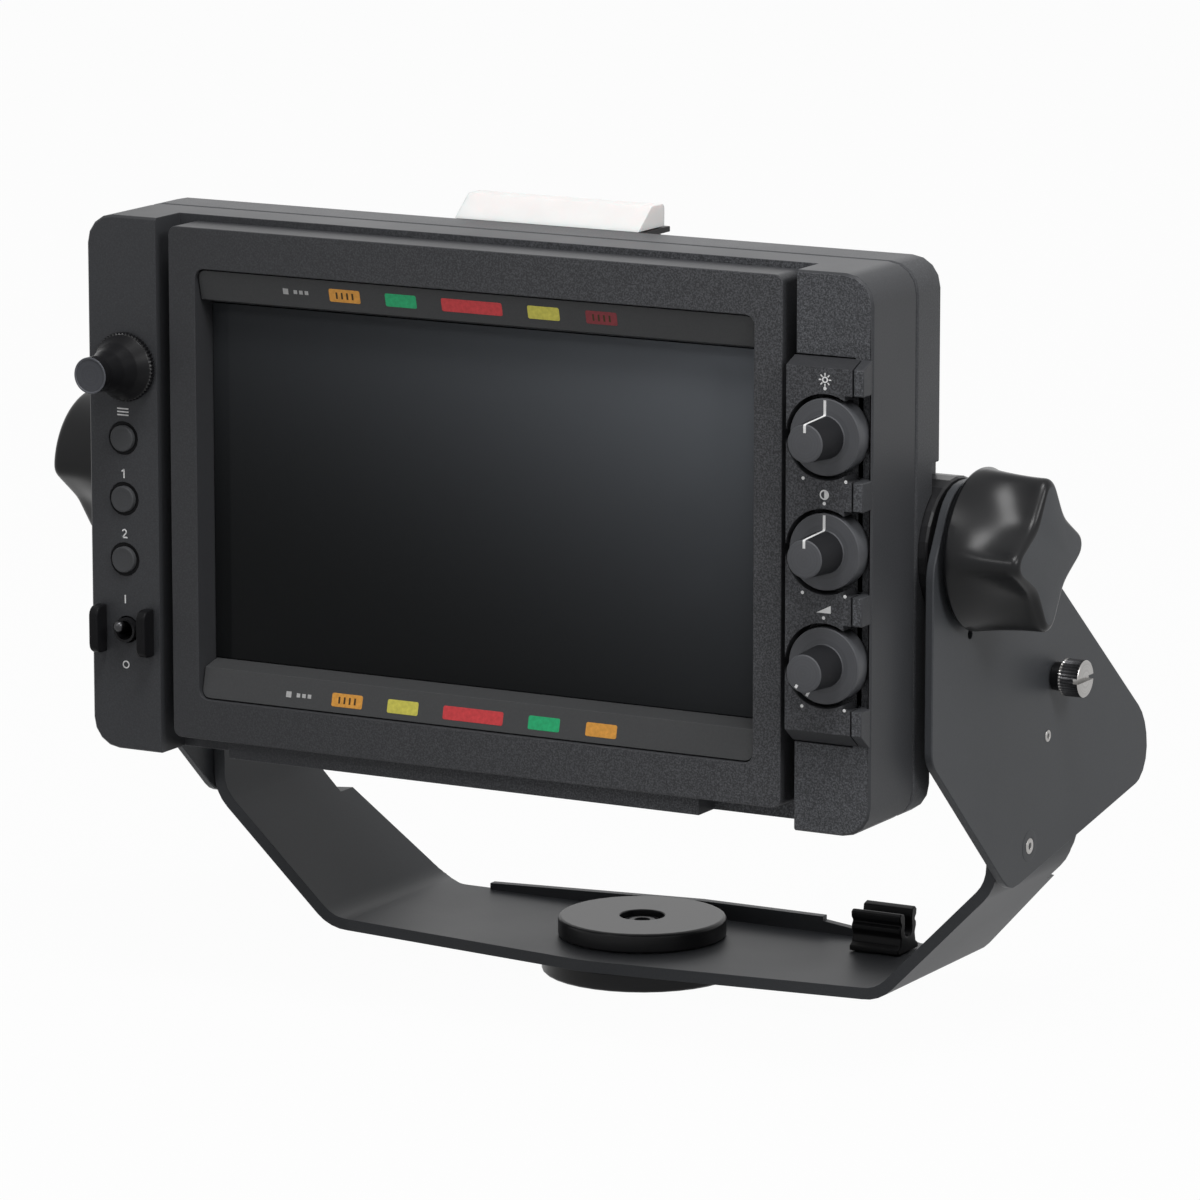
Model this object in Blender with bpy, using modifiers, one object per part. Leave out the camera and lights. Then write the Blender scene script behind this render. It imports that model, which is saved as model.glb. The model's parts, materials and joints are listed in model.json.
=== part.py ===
# Electronic viewfinder for a studio camera: a flat screen in a moulded housing that
# tilts between two side plates on a folded sheet bracket, which swivels on a base disc.
# Metres, +Z up. The origin is the centre of the base disc's lower face.
# The screen faces -Y, and +X is on the viewer's right.

import math

import bmesh
import bpy
from mathutils import Vector

# Shared clearances and resolutions
TOUCH_GAP = 0.0003
RUNNING_GAP = 0.0006
CUT_OVERRUN = 0.004
WELD_DISTANCE = 0.00001
SHARP_ANGLE = math.radians(32)
BEVEL_ANGLE = math.radians(55)
FILLET_STEPS = 4
SMALL_ROUND_STEPS = 16
ROUND_STEPS = 28
LARGE_ROUND_STEPS = 36

# Base disc and swivel
BASE_DISC_RADIUS = 0.0260
BASE_DISC_HEIGHT = 0.0050
BASE_EDGE = 0.0005
SPIGOT_RADIUS = 0.0090
SWIVEL_WASHER_RADIUS = 0.0200
SWIVEL_WASHER_THICKNESS = 0.0005
SWIVEL_CAP_RADIUS = 0.0218
SWIVEL_CAP_HEIGHT = 0.0049
SWIVEL_CAP_EDGE = 0.0006
PIVOT_SCREW_HEAD_RADIUS = 0.0055
PIVOT_SCREW_HEAD_HEIGHT = 0.0016
PIVOT_SCREW_HEAD_DEPTH = 0.0012
PIVOT_SCREW_RADIUS = 0.0025
PIVOT_SCREW_LENGTH = 0.0060
PIVOT_SCREW_SOCKET_RADIUS = 0.0020
PIVOT_SCREW_SOCKET_DEPTH = 0.0009

# Bezel and screen, measured from the middle of the screen and the bezel's front
OPENING_HALF_WIDTH = 0.0783
OPENING_HALF_HEIGHT = 0.0545
OPENING_CORNER_RADIUS = 0.0025
BEZEL_SIDE_BORDER = 0.0077
BEZEL_END_BORDER = 0.0103
BEZEL_HALF_WIDTH = OPENING_HALF_WIDTH + BEZEL_SIDE_BORDER
BEZEL_HALF_HEIGHT = OPENING_HALF_HEIGHT + BEZEL_END_BORDER
BEZEL_CORNER_RADIUS = 0.0022
BEZEL_EDGE = 0.0004
GLASS_FRONT = 0.0080
STRIP_HEIGHT = 0.0095
GLASS_HALF_HEIGHT = OPENING_HALF_HEIGHT - STRIP_HEIGHT
STRIP_OUTER_FRONT = 0.0008
STRIP_INNER_FRONT = 0.0026
STRIP_RETURN = 0.0016
STRIP_INNER_HEIGHT = GLASS_HALF_HEIGHT + STRIP_RETURN
LCD_SIDE_COVER = 0.0042
LCD_END_INSET = 0.0030
LCD_HALF_WIDTH = OPENING_HALF_WIDTH + LCD_SIDE_COVER
LCD_HALF_HEIGHT = OPENING_HALF_HEIGHT - LCD_END_INSET
LCD_THICKNESS = 0.0050
BACKLIGHT_THICKNESS = 0.0020
MAIN_BOARD_SIDE_INSET = 0.0025
MAIN_BOARD_END_INSET = 0.0035
MAIN_BOARD_HALF_WIDTH = LCD_HALF_WIDTH - MAIN_BOARD_SIDE_INSET
MAIN_BOARD_HALF_HEIGHT = LCD_HALF_HEIGHT - MAIN_BOARD_END_INSET
MAIN_BOARD_THICKNESS = 0.0016
MAIN_BOARD_STANDOFF = 0.0040
STANDOFF_RADIUS = 0.0030
STANDOFF_INSET = 0.0060

# Housing
SCREEN_AHEAD_OF_TILT = 0.0425
SCREEN_ABOVE_TILT = 0.0053
COLUMN_GAP = 0.0037
COLUMN_WIDTH = 0.0203
BODY_TOP_MARGIN = 0.0016
BODY_BOTTOM_MARGIN = 0.0049
COLUMN_INNER = BEZEL_HALF_WIDTH + COLUMN_GAP
BODY_HALF_WIDTH = COLUMN_INNER + COLUMN_WIDTH
BODY_TOP = BEZEL_HALF_HEIGHT + BODY_TOP_MARGIN
BODY_BOTTOM = BEZEL_HALF_HEIGHT + BODY_BOTTOM_MARGIN
BODY_CORNER_RADIUS = 0.0075
BODY_EDGE = 0.0010
HOUSING_WALL = 0.0025
SEAM_BACK = 0.0233
LIP_PLANE = 0.0112
LEDGE_LEFT_INSET = 0.0140
LEDGE_RIGHT_INSET = 0.0240
LEDGE_LEFT = BEZEL_HALF_WIDTH - LEDGE_LEFT_INSET
LEDGE_RIGHT = BEZEL_HALF_WIDTH - LEDGE_RIGHT_INSET
LEDGE_FRONT = 0.0035
PANEL_WINDOW_SIDE_ROOM = 0.0010
PANEL_WINDOW_END_ROOM = 0.0015
PANEL_WINDOW_HALF_WIDTH = LCD_HALF_WIDTH + PANEL_WINDOW_SIDE_ROOM
PANEL_WINDOW_HALF_HEIGHT = LCD_HALF_HEIGHT + PANEL_WINDOW_END_ROOM
COVER_BACK = 0.0365
COVER_LOWER_BACK = 0.0324
COVER_STEP_HEIGHT = 0.0165
COVER_CABLE_HALF_WIDTH = 0.0300
COVER_CABLE_HALF_HEIGHT = 0.0100

# Electronics housing behind the cover
HUMP_SIDE_INSET = 0.0065
HUMP_TOP_DROP = 0.0104
HUMP_BOTTOM_RISE = 0.0237
HUMP_HALF_WIDTH = BODY_HALF_WIDTH - HUMP_SIDE_INSET
HUMP_TOP = BODY_TOP - HUMP_TOP_DROP
HUMP_BOTTOM = BODY_BOTTOM - HUMP_BOTTOM_RISE
HUMP_BACK = 0.0620
HUMP_CHAMFER_DEPTH = 0.0110
HUMP_CHAMFER_HEIGHT = 0.0150
HUMP_EDGE = 0.0012
HUMP_WALL = 0.0025
HUMP_SIDE_WALL = 0.0060
VENT_COUNT = 9
VENT_PITCH = 0.0060
VENT_WIDTH = 0.0020
VENT_HEIGHT = 0.0260
PROCESSOR_SIDE_INSET = 0.0335
PROCESSOR_END_INSET = 0.0110
PROCESSOR_HALF_WIDTH = HUMP_HALF_WIDTH - PROCESSOR_SIDE_INSET
PROCESSOR_HALF_HEIGHT = HUMP_BOTTOM - PROCESSOR_END_INSET
PROCESSOR_THICKNESS = 0.0016
PROCESSOR_CLEARANCE = 0.0040

# Folded sheet bracket
SHEET_THICKNESS = 0.0030
ARM_SIDE_GAP = 0.0005
BRACKET_SLOPE_SPREAD = 0.0304
BRACKET_ARM_INNER = BODY_HALF_WIDTH + ARM_SIDE_GAP
BRACKET_BASE_HALF_WIDTH = BRACKET_ARM_INNER - BRACKET_SLOPE_SPREAD
BRACKET_SLOPE_ANGLE = math.radians(45)
BRACKET_BEND_RADIUS = 0.0110
BRACKET_NOSE_FRONT = 0.0318
BRACKET_NOSE_RADIUS = 0.0400
BRACKET_SHOULDER_INSET = 0.0051
BRACKET_SHOULDER_HALF_WIDTH = BRACKET_BASE_HALF_WIDTH - BRACKET_SHOULDER_INSET
BRACKET_SHOULDER_FRONT = 0.0228
BRACKET_ARM_FRONT = 0.0261
BRACKET_BACK = 0.0262
BRACKET_EAR_INSET = 0.0011
BRACKET_EAR_WIDTH = 0.0100
BRACKET_EAR_HALF_WIDTH = BRACKET_BASE_HALF_WIDTH - BRACKET_EAR_INSET
BRACKET_EAR_BACK = 0.0344
BRACKET_EAR_START = BRACKET_EAR_HALF_WIDTH - BRACKET_EAR_WIDTH
BRACKET_ARM_BACK = 0.0190
BRACKET_CORNER_RADIUS = 0.0060
ARM_KNEE_HEIGHT = 0.0441
ARM_KNEE_RADIUS = 0.0080
ARM_BACK_HEIGHT = 0.0405
ARM_BACK_REACH = 0.0217
ARM_WIDE_HEIGHT = 0.0461
ARM_TOP_DROP = 0.0217
ARM_TOP_BACK = 0.0420
ARM_SHOULDER_BACK = 0.0600
ARM_SHOULDER_DROP = 0.0400
ARM_PLATE_LEAD = 0.0010
LIP_THICKNESS = 0.0024
LIP_HEIGHT = 0.0043
LIP_STEP_HEIGHT = 0.0031
LIP_LEFT_HEIGHT = 0.0018
LIP_LEFT_INSET = 0.0211
LIP_STEP_INSET = 0.0401
LIP_RIGHT_INSET = 0.0131
LIP_LEFT = BRACKET_BASE_HALF_WIDTH - LIP_LEFT_INSET
LIP_HIGH_START = 0.0040
LIP_STEP = BRACKET_BASE_HALF_WIDTH - LIP_STEP_INSET
LIP_RIGHT = BRACKET_BASE_HALF_WIDTH - LIP_RIGHT_INSET

# Cable clamp on the bracket
CLAMP_SIDE_INSET = 0.0251
CLAMP_LEFT = BRACKET_BASE_HALF_WIDTH - CLAMP_SIDE_INSET
CLAMP_LENGTH = 0.0140
CLAMP_FRONT = 0.0106
CLAMP_DEPTH = 0.0096
CLAMP_BACK_HEIGHT = 0.0110
CLAMP_FRONT_HEIGHT = 0.0104
CLAMP_SLOT_WIDTH = 0.0044
CLAMP_SLOT_FLOOR = 0.0040
CLAMP_EDGE = 0.0006

# Tilt axis, seen from the base
TILT_AXIS_FRONT = 0.0463
TILT_AXIS_HEIGHT = 0.1288

# Side plates, measured from the tilt axis
PLATE_THICKNESS = 0.0022
PLATE_EDGE = 0.0003
PLATE_FRONT = 0.0213
PLATE_FRONT_TOP_DROP = 0.0020
PLATE_CROWN_FRONT = 0.0110
PLATE_CROWN_BACK = 0.0080
PLATE_CROWN = 0.0170
PLATE_CROWN_RADIUS = 0.0120
PLATE_KNEE_DROP = 0.0495
PLATE_KNEE_RADIUS = 0.0070
PLATE_TIP_BACK = 0.0232
PLATE_TIP_DROP = 0.0905
PLATE_TIP_RADIUS = 0.0100
PLATE_HEEL_BACK = 0.1036
PLATE_HEEL_DROP = 0.0762
PLATE_HEEL_RADIUS = 0.0090
PLATE_SHOULDER_DROP = 0.0612
PLATE_SHOULDER_RADIUS = 0.0150
PLATE_STOP_HOLE_RADIUS = 0.0013
PLATE_STOP_HOLE_FRONT = 0.0009
PLATE_STOP_HOLE_DROP = 0.0210

# Thumbscrew that locks the right side plate
THUMBSCREW_BACK = 0.0475
THUMBSCREW_DROP = 0.0401
THUMBSCREW_RADIUS = 0.0047
THUMBSCREW_COLLAR_RADIUS = 0.0036
THUMBSCREW_COLLAR_LENGTH = 0.0026
THUMBSCREW_HEAD_LENGTH = 0.0056
THUMBSCREW_EDGE = 0.0004
THUMBSCREW_SHANK_RADIUS = 0.0020
THUMBSCREW_SHANK_SHORTFALL = 0.0002
THUMBSCREW_SLOT_WIDTH = 0.0012
THUMBSCREW_SLOT_DEPTH = 0.0014

# Tilt pivots: boss on the housing, washer, stud and lobed knob
BOSS_RADIUS = 0.0173
BOSS_INNER = HUMP_HALF_WIDTH + TOUCH_GAP
BOSS_OVER_ARM = 0.0015
BOSS_OUTER = BRACKET_ARM_INNER + BOSS_OVER_ARM
BOSS_EDGE = 0.0005
TILT_WASHER_RADIUS = 0.0120
TILT_STUD_RADIUS = 0.0040
TILT_STUD_DEPTH = 0.0070
KNOB_WASHER_RADIUS = 0.0160
KNOB_WASHER_THICKNESS = 0.0008
TILT_KNOB_LENGTH = 0.0195
TILT_KNOB_INNER_RADIUS = 0.0194
TILT_KNOB_LOBE_RADIUS = 0.0212
TILT_KNOB_ROUND_RADIUS = 0.0192
TILT_KNOB_WAIST_RADIUS = 0.0122
TILT_KNOB_LOBE_ROUNDING = 0.0030
TILT_KNOB_WAIST_ROUNDING = 0.0130
TILT_KNOB_EDGE = 0.0012
TILT_KNOB_HEEL = 0.0010
TILT_KNOB_BORE_DEPTH = 0.0120
TILT_KNOB_LOBES = 4
RIGHT_KNOB_SCALLOPS = (0, 1, 2, 3)
LEFT_KNOB_SCALLOPS = (0, 2)
ROUND_SIDE_SHARES = (0.12, 0.3, 0.5, 0.7, 0.88)
TILT_KNOB_RINGS = 4

# Connector under the electronics housing
CONNECTOR_SIDE_INSET = 0.0415
CONNECTOR_BACK_INSET = 0.0120
CONNECTOR_RIGHT = HUMP_HALF_WIDTH - CONNECTOR_SIDE_INSET
CONNECTOR_BACK = HUMP_BACK - CONNECTOR_BACK_INSET
CONNECTOR_FLANGE_RADIUS = 0.0085
CONNECTOR_FLANGE_HEIGHT = 0.0020
CONNECTOR_RADIUS = 0.0070
CONNECTOR_LENGTH = 0.0090
CONNECTOR_WALL = 0.0010
CONNECTOR_INSERT_RECESS = 0.0052
CONNECTOR_NECK_RADIUS = 0.0060

# Tally lamp on top
LAMP_LEG_HALF_WIDTH = 0.0250
LAMP_FRONT = 0.0380
LAMP_DEPTH = 0.0160
LAMP_LEG_HEIGHT = 0.0080
LAMP_LEG_TOP = HUMP_TOP + LAMP_LEG_HEIGHT
LAMP_BASE_HEIGHT = 0.0014
LAMP_BASE_MARGIN = 0.0006
LAMP_HALF_WIDTH = 0.0260
LAMP_LENS_FRONT = 0.0385
LAMP_LENS_DEPTH = 0.0135
LAMP_LENS_HEIGHT = 0.0055
LAMP_LENS_LEAN = 0.0070
LAMP_CROWN_RADIUS = 0.0012
LAMP_EDGE = 0.0008

# Knob panel on the right column
PANEL_OVERHANG = 0.0004
PANEL_RIGHT_MARGIN = 0.0049
PANEL_LEFT = COLUMN_INNER - PANEL_OVERHANG
PANEL_RIGHT = BODY_HALF_WIDTH - PANEL_RIGHT_MARGIN
PANEL_FRONT = 0.0044
PANEL_FACE_TOP = 0.0443
PANEL_FACE_BOTTOM = 0.0439
PANEL_TOP = 0.0461
PANEL_BOTTOM = 0.0473
PANEL_SEAT_DEPTH = 0.0037
POCKET_FLOOR = 0.0017
POCKET_RADIUS = 0.0104
POCKET_NOTCH_HALF_HEIGHT = 0.01025
POCKET_NOTCH_MARGIN = 0.0006
POCKET_NOTCH_RIGHT = BODY_HALF_WIDTH - POCKET_NOTCH_MARGIN
KNOB_INSET = 0.0099
KNOB_ACROSS = COLUMN_INNER + KNOB_INSET
KNOB_PITCH = 0.0276
KNOB_NAMES = ("upper_knob", "middle_knob", "lower_knob")
FLANGE_RADIUS = 0.0093
FLANGE_EDGE = 0.0003
STEM_BASE_RADIUS = 0.0052
STEM_RADIUS = 0.0046
STEM_FRONT = 0.0148
STEM_EDGE = 0.0004
POT_SHAFT_RADIUS = 0.0030
POT_SHAFT_FRONT = 0.0060
POT_BUSHING_RADIUS = 0.0036
POT_BODY_RADIUS = 0.0072
POT_BODY_LENGTH = 0.0065
POT_SEAT_BACK = 0.0065

# Menu dial on the left column
DIAL_INSET = 0.0091
DIAL_ACROSS = COLUMN_INNER + DIAL_INSET
DIAL_HEIGHT = 0.0284
DIAL_RIM_RADIUS = 0.00875
DIAL_RIM_LENGTH = 0.0016
DIAL_SHOULDER_RADIUS = 0.0064
DIAL_SHOULDER_FRONT = 0.0050
DIAL_WAIST_RADIUS = 0.0052
DIAL_WAIST_FRONT = 0.0085
DIAL_FRONT = 0.0167
DIAL_CAP_RADIUS = 0.0046
DIAL_CAP_LENGTH = 0.0030
DIAL_NECK_RADIUS = 0.0042
DIAL_EDGE = 0.0004
DIAL_GRIP_COUNT = 20
DIAL_GRIP_DEPTH = 0.0005
ENCODER_SHAFT_FRONT = 0.0090
ENCODER_BODY_RADIUS = 0.0060

# Buttons on the left column
BUTTON_INSET = 0.0102
BUTTON_ACROSS = COLUMN_INNER + BUTTON_INSET
BUTTON_TOP_HEIGHT = 0.0101
BUTTON_PITCH = 0.01545
BUTTON_NAMES = ("menu_button", "function_button_1", "function_button_2")
BUTTON_RADIUS = 0.0036
BUTTON_PROUD = 0.0010
BUTTON_EDGE = 0.0004
BUTTON_TRAVEL = 0.0010
BUTTON_RECESS_RADIUS = 0.0043
BUTTON_RECESS_DEPTH = 0.0006
BUTTON_FLANGE_RADIUS = 0.0046
BUTTON_FLANGE_LENGTH = 0.0010
BUTTON_STEM_RADIUS = 0.0018
BUTTON_STEM_LENGTH = 0.0024
SWITCH_SIDE = 0.0060
SWITCH_HEIGHT = 0.0030
BUTTON_BOARD_THICKNESS = 0.0016
BUTTON_BOARD_MARGIN = 0.0060

# Power toggle on the left column
TOGGLE_INSET = 0.0097
TOGGLE_ACROSS = COLUMN_INNER + TOGGLE_INSET
TOGGLE_DROP = 0.0387
TOGGLE_TILT = math.radians(12)
TOGGLE_LENGTH = 0.0085
TOGGLE_NECK_RADIUS = 0.0010
TOGGLE_TIP_RADIUS = 0.0015
TOGGLE_PIVOT_BACK = 0.0030
TOGGLE_BUSHING_RADIUS = 0.0031
TOGGLE_BUSHING_PROUD = 0.0016
TOGGLE_BUSHING_WALL = 0.0006
TOGGLE_BODY_HALF_WIDTH = 0.0045
TOGGLE_BODY_HALF_HEIGHT = 0.0065
TOGGLE_BODY_DEPTH = 0.0080
TOGGLE_BALL_RADIUS = 0.0014
TOGGLE_ROUND_STEPS = 4
GUARD_THICKNESS = 0.0026
GUARD_SPREAD = 0.0070
GUARD_HALF_HEIGHT = 0.0061
GUARD_REACH = 0.0052
GUARD_ROOT = 0.0010

# Directions that an outline or a turned profile can face
FLAT = (0, 0, 0)
FRONTWARD = (math.radians(90), 0, 0)
SIDEWAYS = (math.radians(90), 0, math.radians(90))
TO_RIGHT = (0, math.radians(90), 0)
TO_LEFT = (0, math.radians(-90), 0)

# Colours and finishes
FINISHES = {
    "housing_plastic": ((0.045, 0.046, 0.049), 0.55, 0.0),
    "bezel_plastic": ((0.040, 0.041, 0.044), 0.60, 0.0),
    "panel_plastic": ((0.052, 0.053, 0.056), 0.60, 0.0),
    "bracket_paint": ((0.060, 0.063, 0.067), 0.42, 0.2),
    "plate_paint": ((0.055, 0.058, 0.062), 0.42, 0.2),
    "black_metal": ((0.022, 0.022, 0.024), 0.32, 0.7),
    "steel": ((0.62, 0.62, 0.62), 0.28, 1.0),
    "nickel": ((0.55, 0.54, 0.52), 0.30, 1.0),
    "knob_plastic": ((0.035, 0.036, 0.038), 0.45, 0.0),
    "screen_glass": ((0.012, 0.012, 0.013), 0.08, 0.0),
    "lcd_black": ((0.015, 0.015, 0.017), 0.30, 0.0),
    "lamp_white": ((0.86, 0.82, 0.82), 0.35, 0.0),
    "board_green": ((0.020, 0.085, 0.045), 0.50, 0.0),
    "part_black": ((0.018, 0.018, 0.018), 0.50, 0.0),
    "washer_nylon": ((0.060, 0.060, 0.060), 0.50, 0.0),
}


def clear_scene():
    for obj in list(bpy.data.objects):
        bpy.data.objects.remove(obj)


def make_collection(name):
    collection = bpy.data.collections.new(name)
    bpy.context.scene.collection.children.link(collection)
    return collection


def make_material(name):
    colour, roughness, metallic = FINISHES[name]
    material = bpy.data.materials.new(name)
    material.use_nodes = True
    shader = material.node_tree.nodes["Principled BSDF"]
    shader.inputs["Base Color"].default_value = (*colour, 1.0)
    shader.inputs["Roughness"].default_value = roughness
    shader.inputs["Metallic"].default_value = metallic
    material.diffuse_color = (*colour, 1.0)
    return material


clear_scene()
PARTS = make_collection("electronic_viewfinder")
CUTTERS = make_collection("cutters")
MATERIALS = {name: make_material(name) for name in FINISHES}


def add_empty(name, location, parent=None):
    empty = bpy.data.objects.new(name, None)
    empty.location = location
    empty.parent = parent
    PARTS.objects.link(empty)
    return empty


def place(obj, location, facing, parent):
    obj.location = location
    obj.rotation_euler = facing
    obj.parent = parent


def as_part(obj, finish):
    PARTS.objects.link(obj)
    obj.data.materials.append(MATERIALS[finish])
    return obj


def as_cutter(obj):
    CUTTERS.objects.link(obj)
    obj.hide_render = True
    obj.display_type = "WIRE"
    return obj


# A free object becomes a plain mesh object that keeps its shape, with its normals outward.
def baked(obj):
    CUTTERS.objects.link(obj)
    bpy.context.view_layer.update()
    graph = bpy.context.evaluated_depsgraph_get()
    mesh = bpy.data.meshes.new_from_object(obj.evaluated_get(graph))
    name, source = obj.name, obj.data
    bpy.data.objects.remove(obj)
    (bpy.data.curves if isinstance(source, bpy.types.Curve) else bpy.data.meshes).remove(source)
    bm = bmesh.new()
    bm.from_mesh(mesh)
    bmesh.ops.remove_doubles(bm, verts=bm.verts, dist=WELD_DISTANCE)
    bmesh.ops.recalc_face_normals(bm, faces=bm.faces)
    bm.to_mesh(mesh)
    bm.free()
    mesh.materials.clear()
    mesh.name = name
    return bpy.data.objects.new(name, mesh)


def smooth(obj):
    obj.data.shade_smooth()
    obj.data.set_sharp_from_angle(angle=SHARP_ANGLE)
    return obj


# Points of an arc that rounds a corner, limited to half of its shorter side.
def fillet(before, corner, after, radius):
    corner = Vector(corner)
    inward = Vector(before) - corner
    outward = Vector(after) - corner
    half_angle = inward.angle(outward) / 2
    reach = min(radius / math.tan(half_angle), min(inward.length, outward.length) / 2)
    radius = reach * math.tan(half_angle)
    inward.normalize()
    outward.normalize()
    centre = corner + (inward + outward).normalized() * radius / math.sin(half_angle)
    start = corner + inward * reach - centre
    end = corner + outward * reach - centre
    turn = start.angle_signed(end)
    points = []
    for step in range(FILLET_STEPS + 1):
        angle = -turn * step / FILLET_STEPS
        cos, sin = math.cos(angle), math.sin(angle)
        points.append((centre.x + start.x * cos - start.y * sin, centre.y + start.x * sin + start.y * cos))
    return points


# An outline of (x, y) or (x, y, radius) corners as points, with the radii drawn as arcs.
def rounded(corners):
    points = []
    for index, corner in enumerate(corners):
        if len(corner) == 2 or not corner[2]:
            points.append(corner[:2])
            continue
        before = corners[index - 1][:2]
        after = corners[(index + 1) % len(corners)][:2]
        points += fillet(before, corner[:2], after, corner[2])
    return points


def rectangle(left, right, bottom, top, radius=0):
    return [(left, bottom, radius), (right, bottom, radius), (right, top, radius), (left, top, radius)]


# A flat outline extruded to both sides of its own plane.
def prism(name, corners, thickness):
    curve = bpy.data.curves.new(name, "CURVE")
    curve.dimensions = "2D"
    curve.fill_mode = "BOTH"
    curve.extrude = thickness / 2
    points = rounded(corners)
    spline = curve.splines.new("POLY")
    spline.points.add(len(points) - 1)
    for point, (x, y) in zip(spline.points, points):
        point.co = (x, y, 0, 1)
    spline.use_cyclic_u = True
    return baked(bpy.data.objects.new(name, curve))


# A profile of (radius, height) points turned about local Z; it ends on the axis or closes on itself.
def turned(name, profile, steps=ROUND_STEPS):
    mesh = bpy.data.meshes.new(name)
    edges = [(index, index + 1) for index in range(len(profile) - 1)]
    if profile[0][0] > 0:
        edges.append((len(profile) - 1, 0))
    mesh.from_pydata([(radius, 0, height) for radius, height in profile], edges, [])
    obj = bpy.data.objects.new(name, mesh)
    screw = obj.modifiers.new("turn", "SCREW")
    screw.steps = steps
    screw.render_steps = steps
    screw.use_merge_vertices = True
    screw.merge_threshold = WELD_DISTANCE
    return smooth(baked(obj))


def block(name, size):
    mesh = bpy.data.meshes.new(name)
    bm = bmesh.new()
    bmesh.ops.create_cube(bm, size=1)
    bmesh.ops.scale(bm, vec=size, verts=bm.verts)
    bm.to_mesh(mesh)
    bm.free()
    return bpy.data.objects.new(name, mesh)


def rod(name, radius, length, steps=SMALL_ROUND_STEPS):
    mesh = bpy.data.meshes.new(name)
    bm = bmesh.new()
    bmesh.ops.create_cone(
        bm, cap_ends=True, segments=steps, radius1=radius, radius2=radius, depth=length
    )
    bm.to_mesh(mesh)
    bm.free()
    return smooth(bpy.data.objects.new(name, mesh))


def boolean(obj, other, operation):
    modifier = obj.modifiers.new(other.name, "BOOLEAN")
    modifier.operation = operation
    modifier.object = other
    modifier.solver = "EXACT"


def cut(obj, cutter):
    boolean(obj, as_cutter(cutter), "DIFFERENCE")


def join(obj, other):
    boolean(obj, as_cutter(other), "UNION")


def keep(obj, mask):
    boolean(obj, as_cutter(mask), "INTERSECT")


def soften(obj, width, segments=1):
    bevel = obj.modifiers.new("edge", "BEVEL")
    bevel.width = width
    bevel.segments = segments
    bevel.limit_method = "ANGLE"
    bevel.angle_limit = BEVEL_ANGLE
    return obj


# Places that the bodies share
bracket_bottom = BASE_DISC_HEIGHT + TOUCH_GAP + SWIVEL_WASHER_THICKNESS + TOUCH_GAP
bracket_top = bracket_bottom + SHEET_THICKNESS
arm_outer = BRACKET_ARM_INNER + SHEET_THICKNESS
plate_inner = arm_outer + TOUCH_GAP
plate_outer = plate_inner + PLATE_THICKNESS
bore_floor = bracket_top - PIVOT_SCREW_LENGTH + PIVOT_SCREW_HEAD_HEIGHT

swivel_axis = add_empty("swivel_axis", (0, 0, 0))
tilt_axis = add_empty("tilt_axis", (0, -TILT_AXIS_FRONT, TILT_AXIS_HEIGHT), swivel_axis)
screen_centre = add_empty("screen_centre", (0, -SCREEN_AHEAD_OF_TILT, SCREEN_ABOVE_TILT), tilt_axis)


def make_base_disc():
    profile = [
        (0, bore_floor),
        (PIVOT_SCREW_RADIUS + TOUCH_GAP, bore_floor),
        (PIVOT_SCREW_RADIUS + TOUCH_GAP, bracket_top),
        (SPIGOT_RADIUS, bracket_top),
        (SPIGOT_RADIUS, BASE_DISC_HEIGHT),
        (BASE_DISC_RADIUS - BASE_EDGE, BASE_DISC_HEIGHT),
        (BASE_DISC_RADIUS, BASE_DISC_HEIGHT - BASE_EDGE),
        (BASE_DISC_RADIUS, BASE_EDGE),
        (BASE_DISC_RADIUS - BASE_EDGE, 0),
        (0, 0),
    ]
    as_part(turned("base_disc", profile, LARGE_ROUND_STEPS), "black_metal")


def ring(name, inner, outer, bottom, top, steps=ROUND_STEPS):
    return turned(name, [(inner, top), (outer, top), (outer, bottom), (inner, bottom)], steps)


def make_swivel_washer():
    bottom = BASE_DISC_HEIGHT + TOUCH_GAP
    top = bottom + SWIVEL_WASHER_THICKNESS
    washer = ring("swivel_washer", SPIGOT_RADIUS + TOUCH_GAP, SWIVEL_WASHER_RADIUS, bottom, top)
    as_part(washer, "washer_nylon")


def make_swivel_cap():
    bottom = bracket_top + TOUCH_GAP
    top = bottom + SWIVEL_CAP_HEIGHT
    head_seat = top - PIVOT_SCREW_HEAD_DEPTH - PIVOT_SCREW_HEAD_HEIGHT - TOUCH_GAP
    head_hole = PIVOT_SCREW_HEAD_RADIUS + TOUCH_GAP
    shank_hole = PIVOT_SCREW_RADIUS + TOUCH_GAP
    profile = [
        (head_hole, top),
        (SWIVEL_CAP_RADIUS - SWIVEL_CAP_EDGE, top),
        (SWIVEL_CAP_RADIUS, top - SWIVEL_CAP_EDGE),
        (SWIVEL_CAP_RADIUS, bottom),
        (shank_hole, bottom),
        (shank_hole, head_seat),
        (head_hole, head_seat),
    ]
    as_part(turned("swivel_cap", profile, LARGE_ROUND_STEPS), "black_metal")


def make_pivot_screw():
    top = bracket_top + TOUCH_GAP + SWIVEL_CAP_HEIGHT - PIVOT_SCREW_HEAD_DEPTH
    socket_floor = top - PIVOT_SCREW_SOCKET_DEPTH
    profile = [
        (0, socket_floor),
        (PIVOT_SCREW_SOCKET_RADIUS, socket_floor),
        (PIVOT_SCREW_SOCKET_RADIUS, top),
        (PIVOT_SCREW_HEAD_RADIUS, top),
        (PIVOT_SCREW_HEAD_RADIUS, top - PIVOT_SCREW_HEAD_HEIGHT),
        (PIVOT_SCREW_RADIUS, top - PIVOT_SCREW_HEAD_HEIGHT),
        (PIVOT_SCREW_RADIUS, bore_floor + TOUCH_GAP),
        (0, bore_floor + TOUCH_GAP),
    ]
    as_part(turned("pivot_screw", profile, SMALL_ROUND_STEPS), "black_metal")


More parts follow.
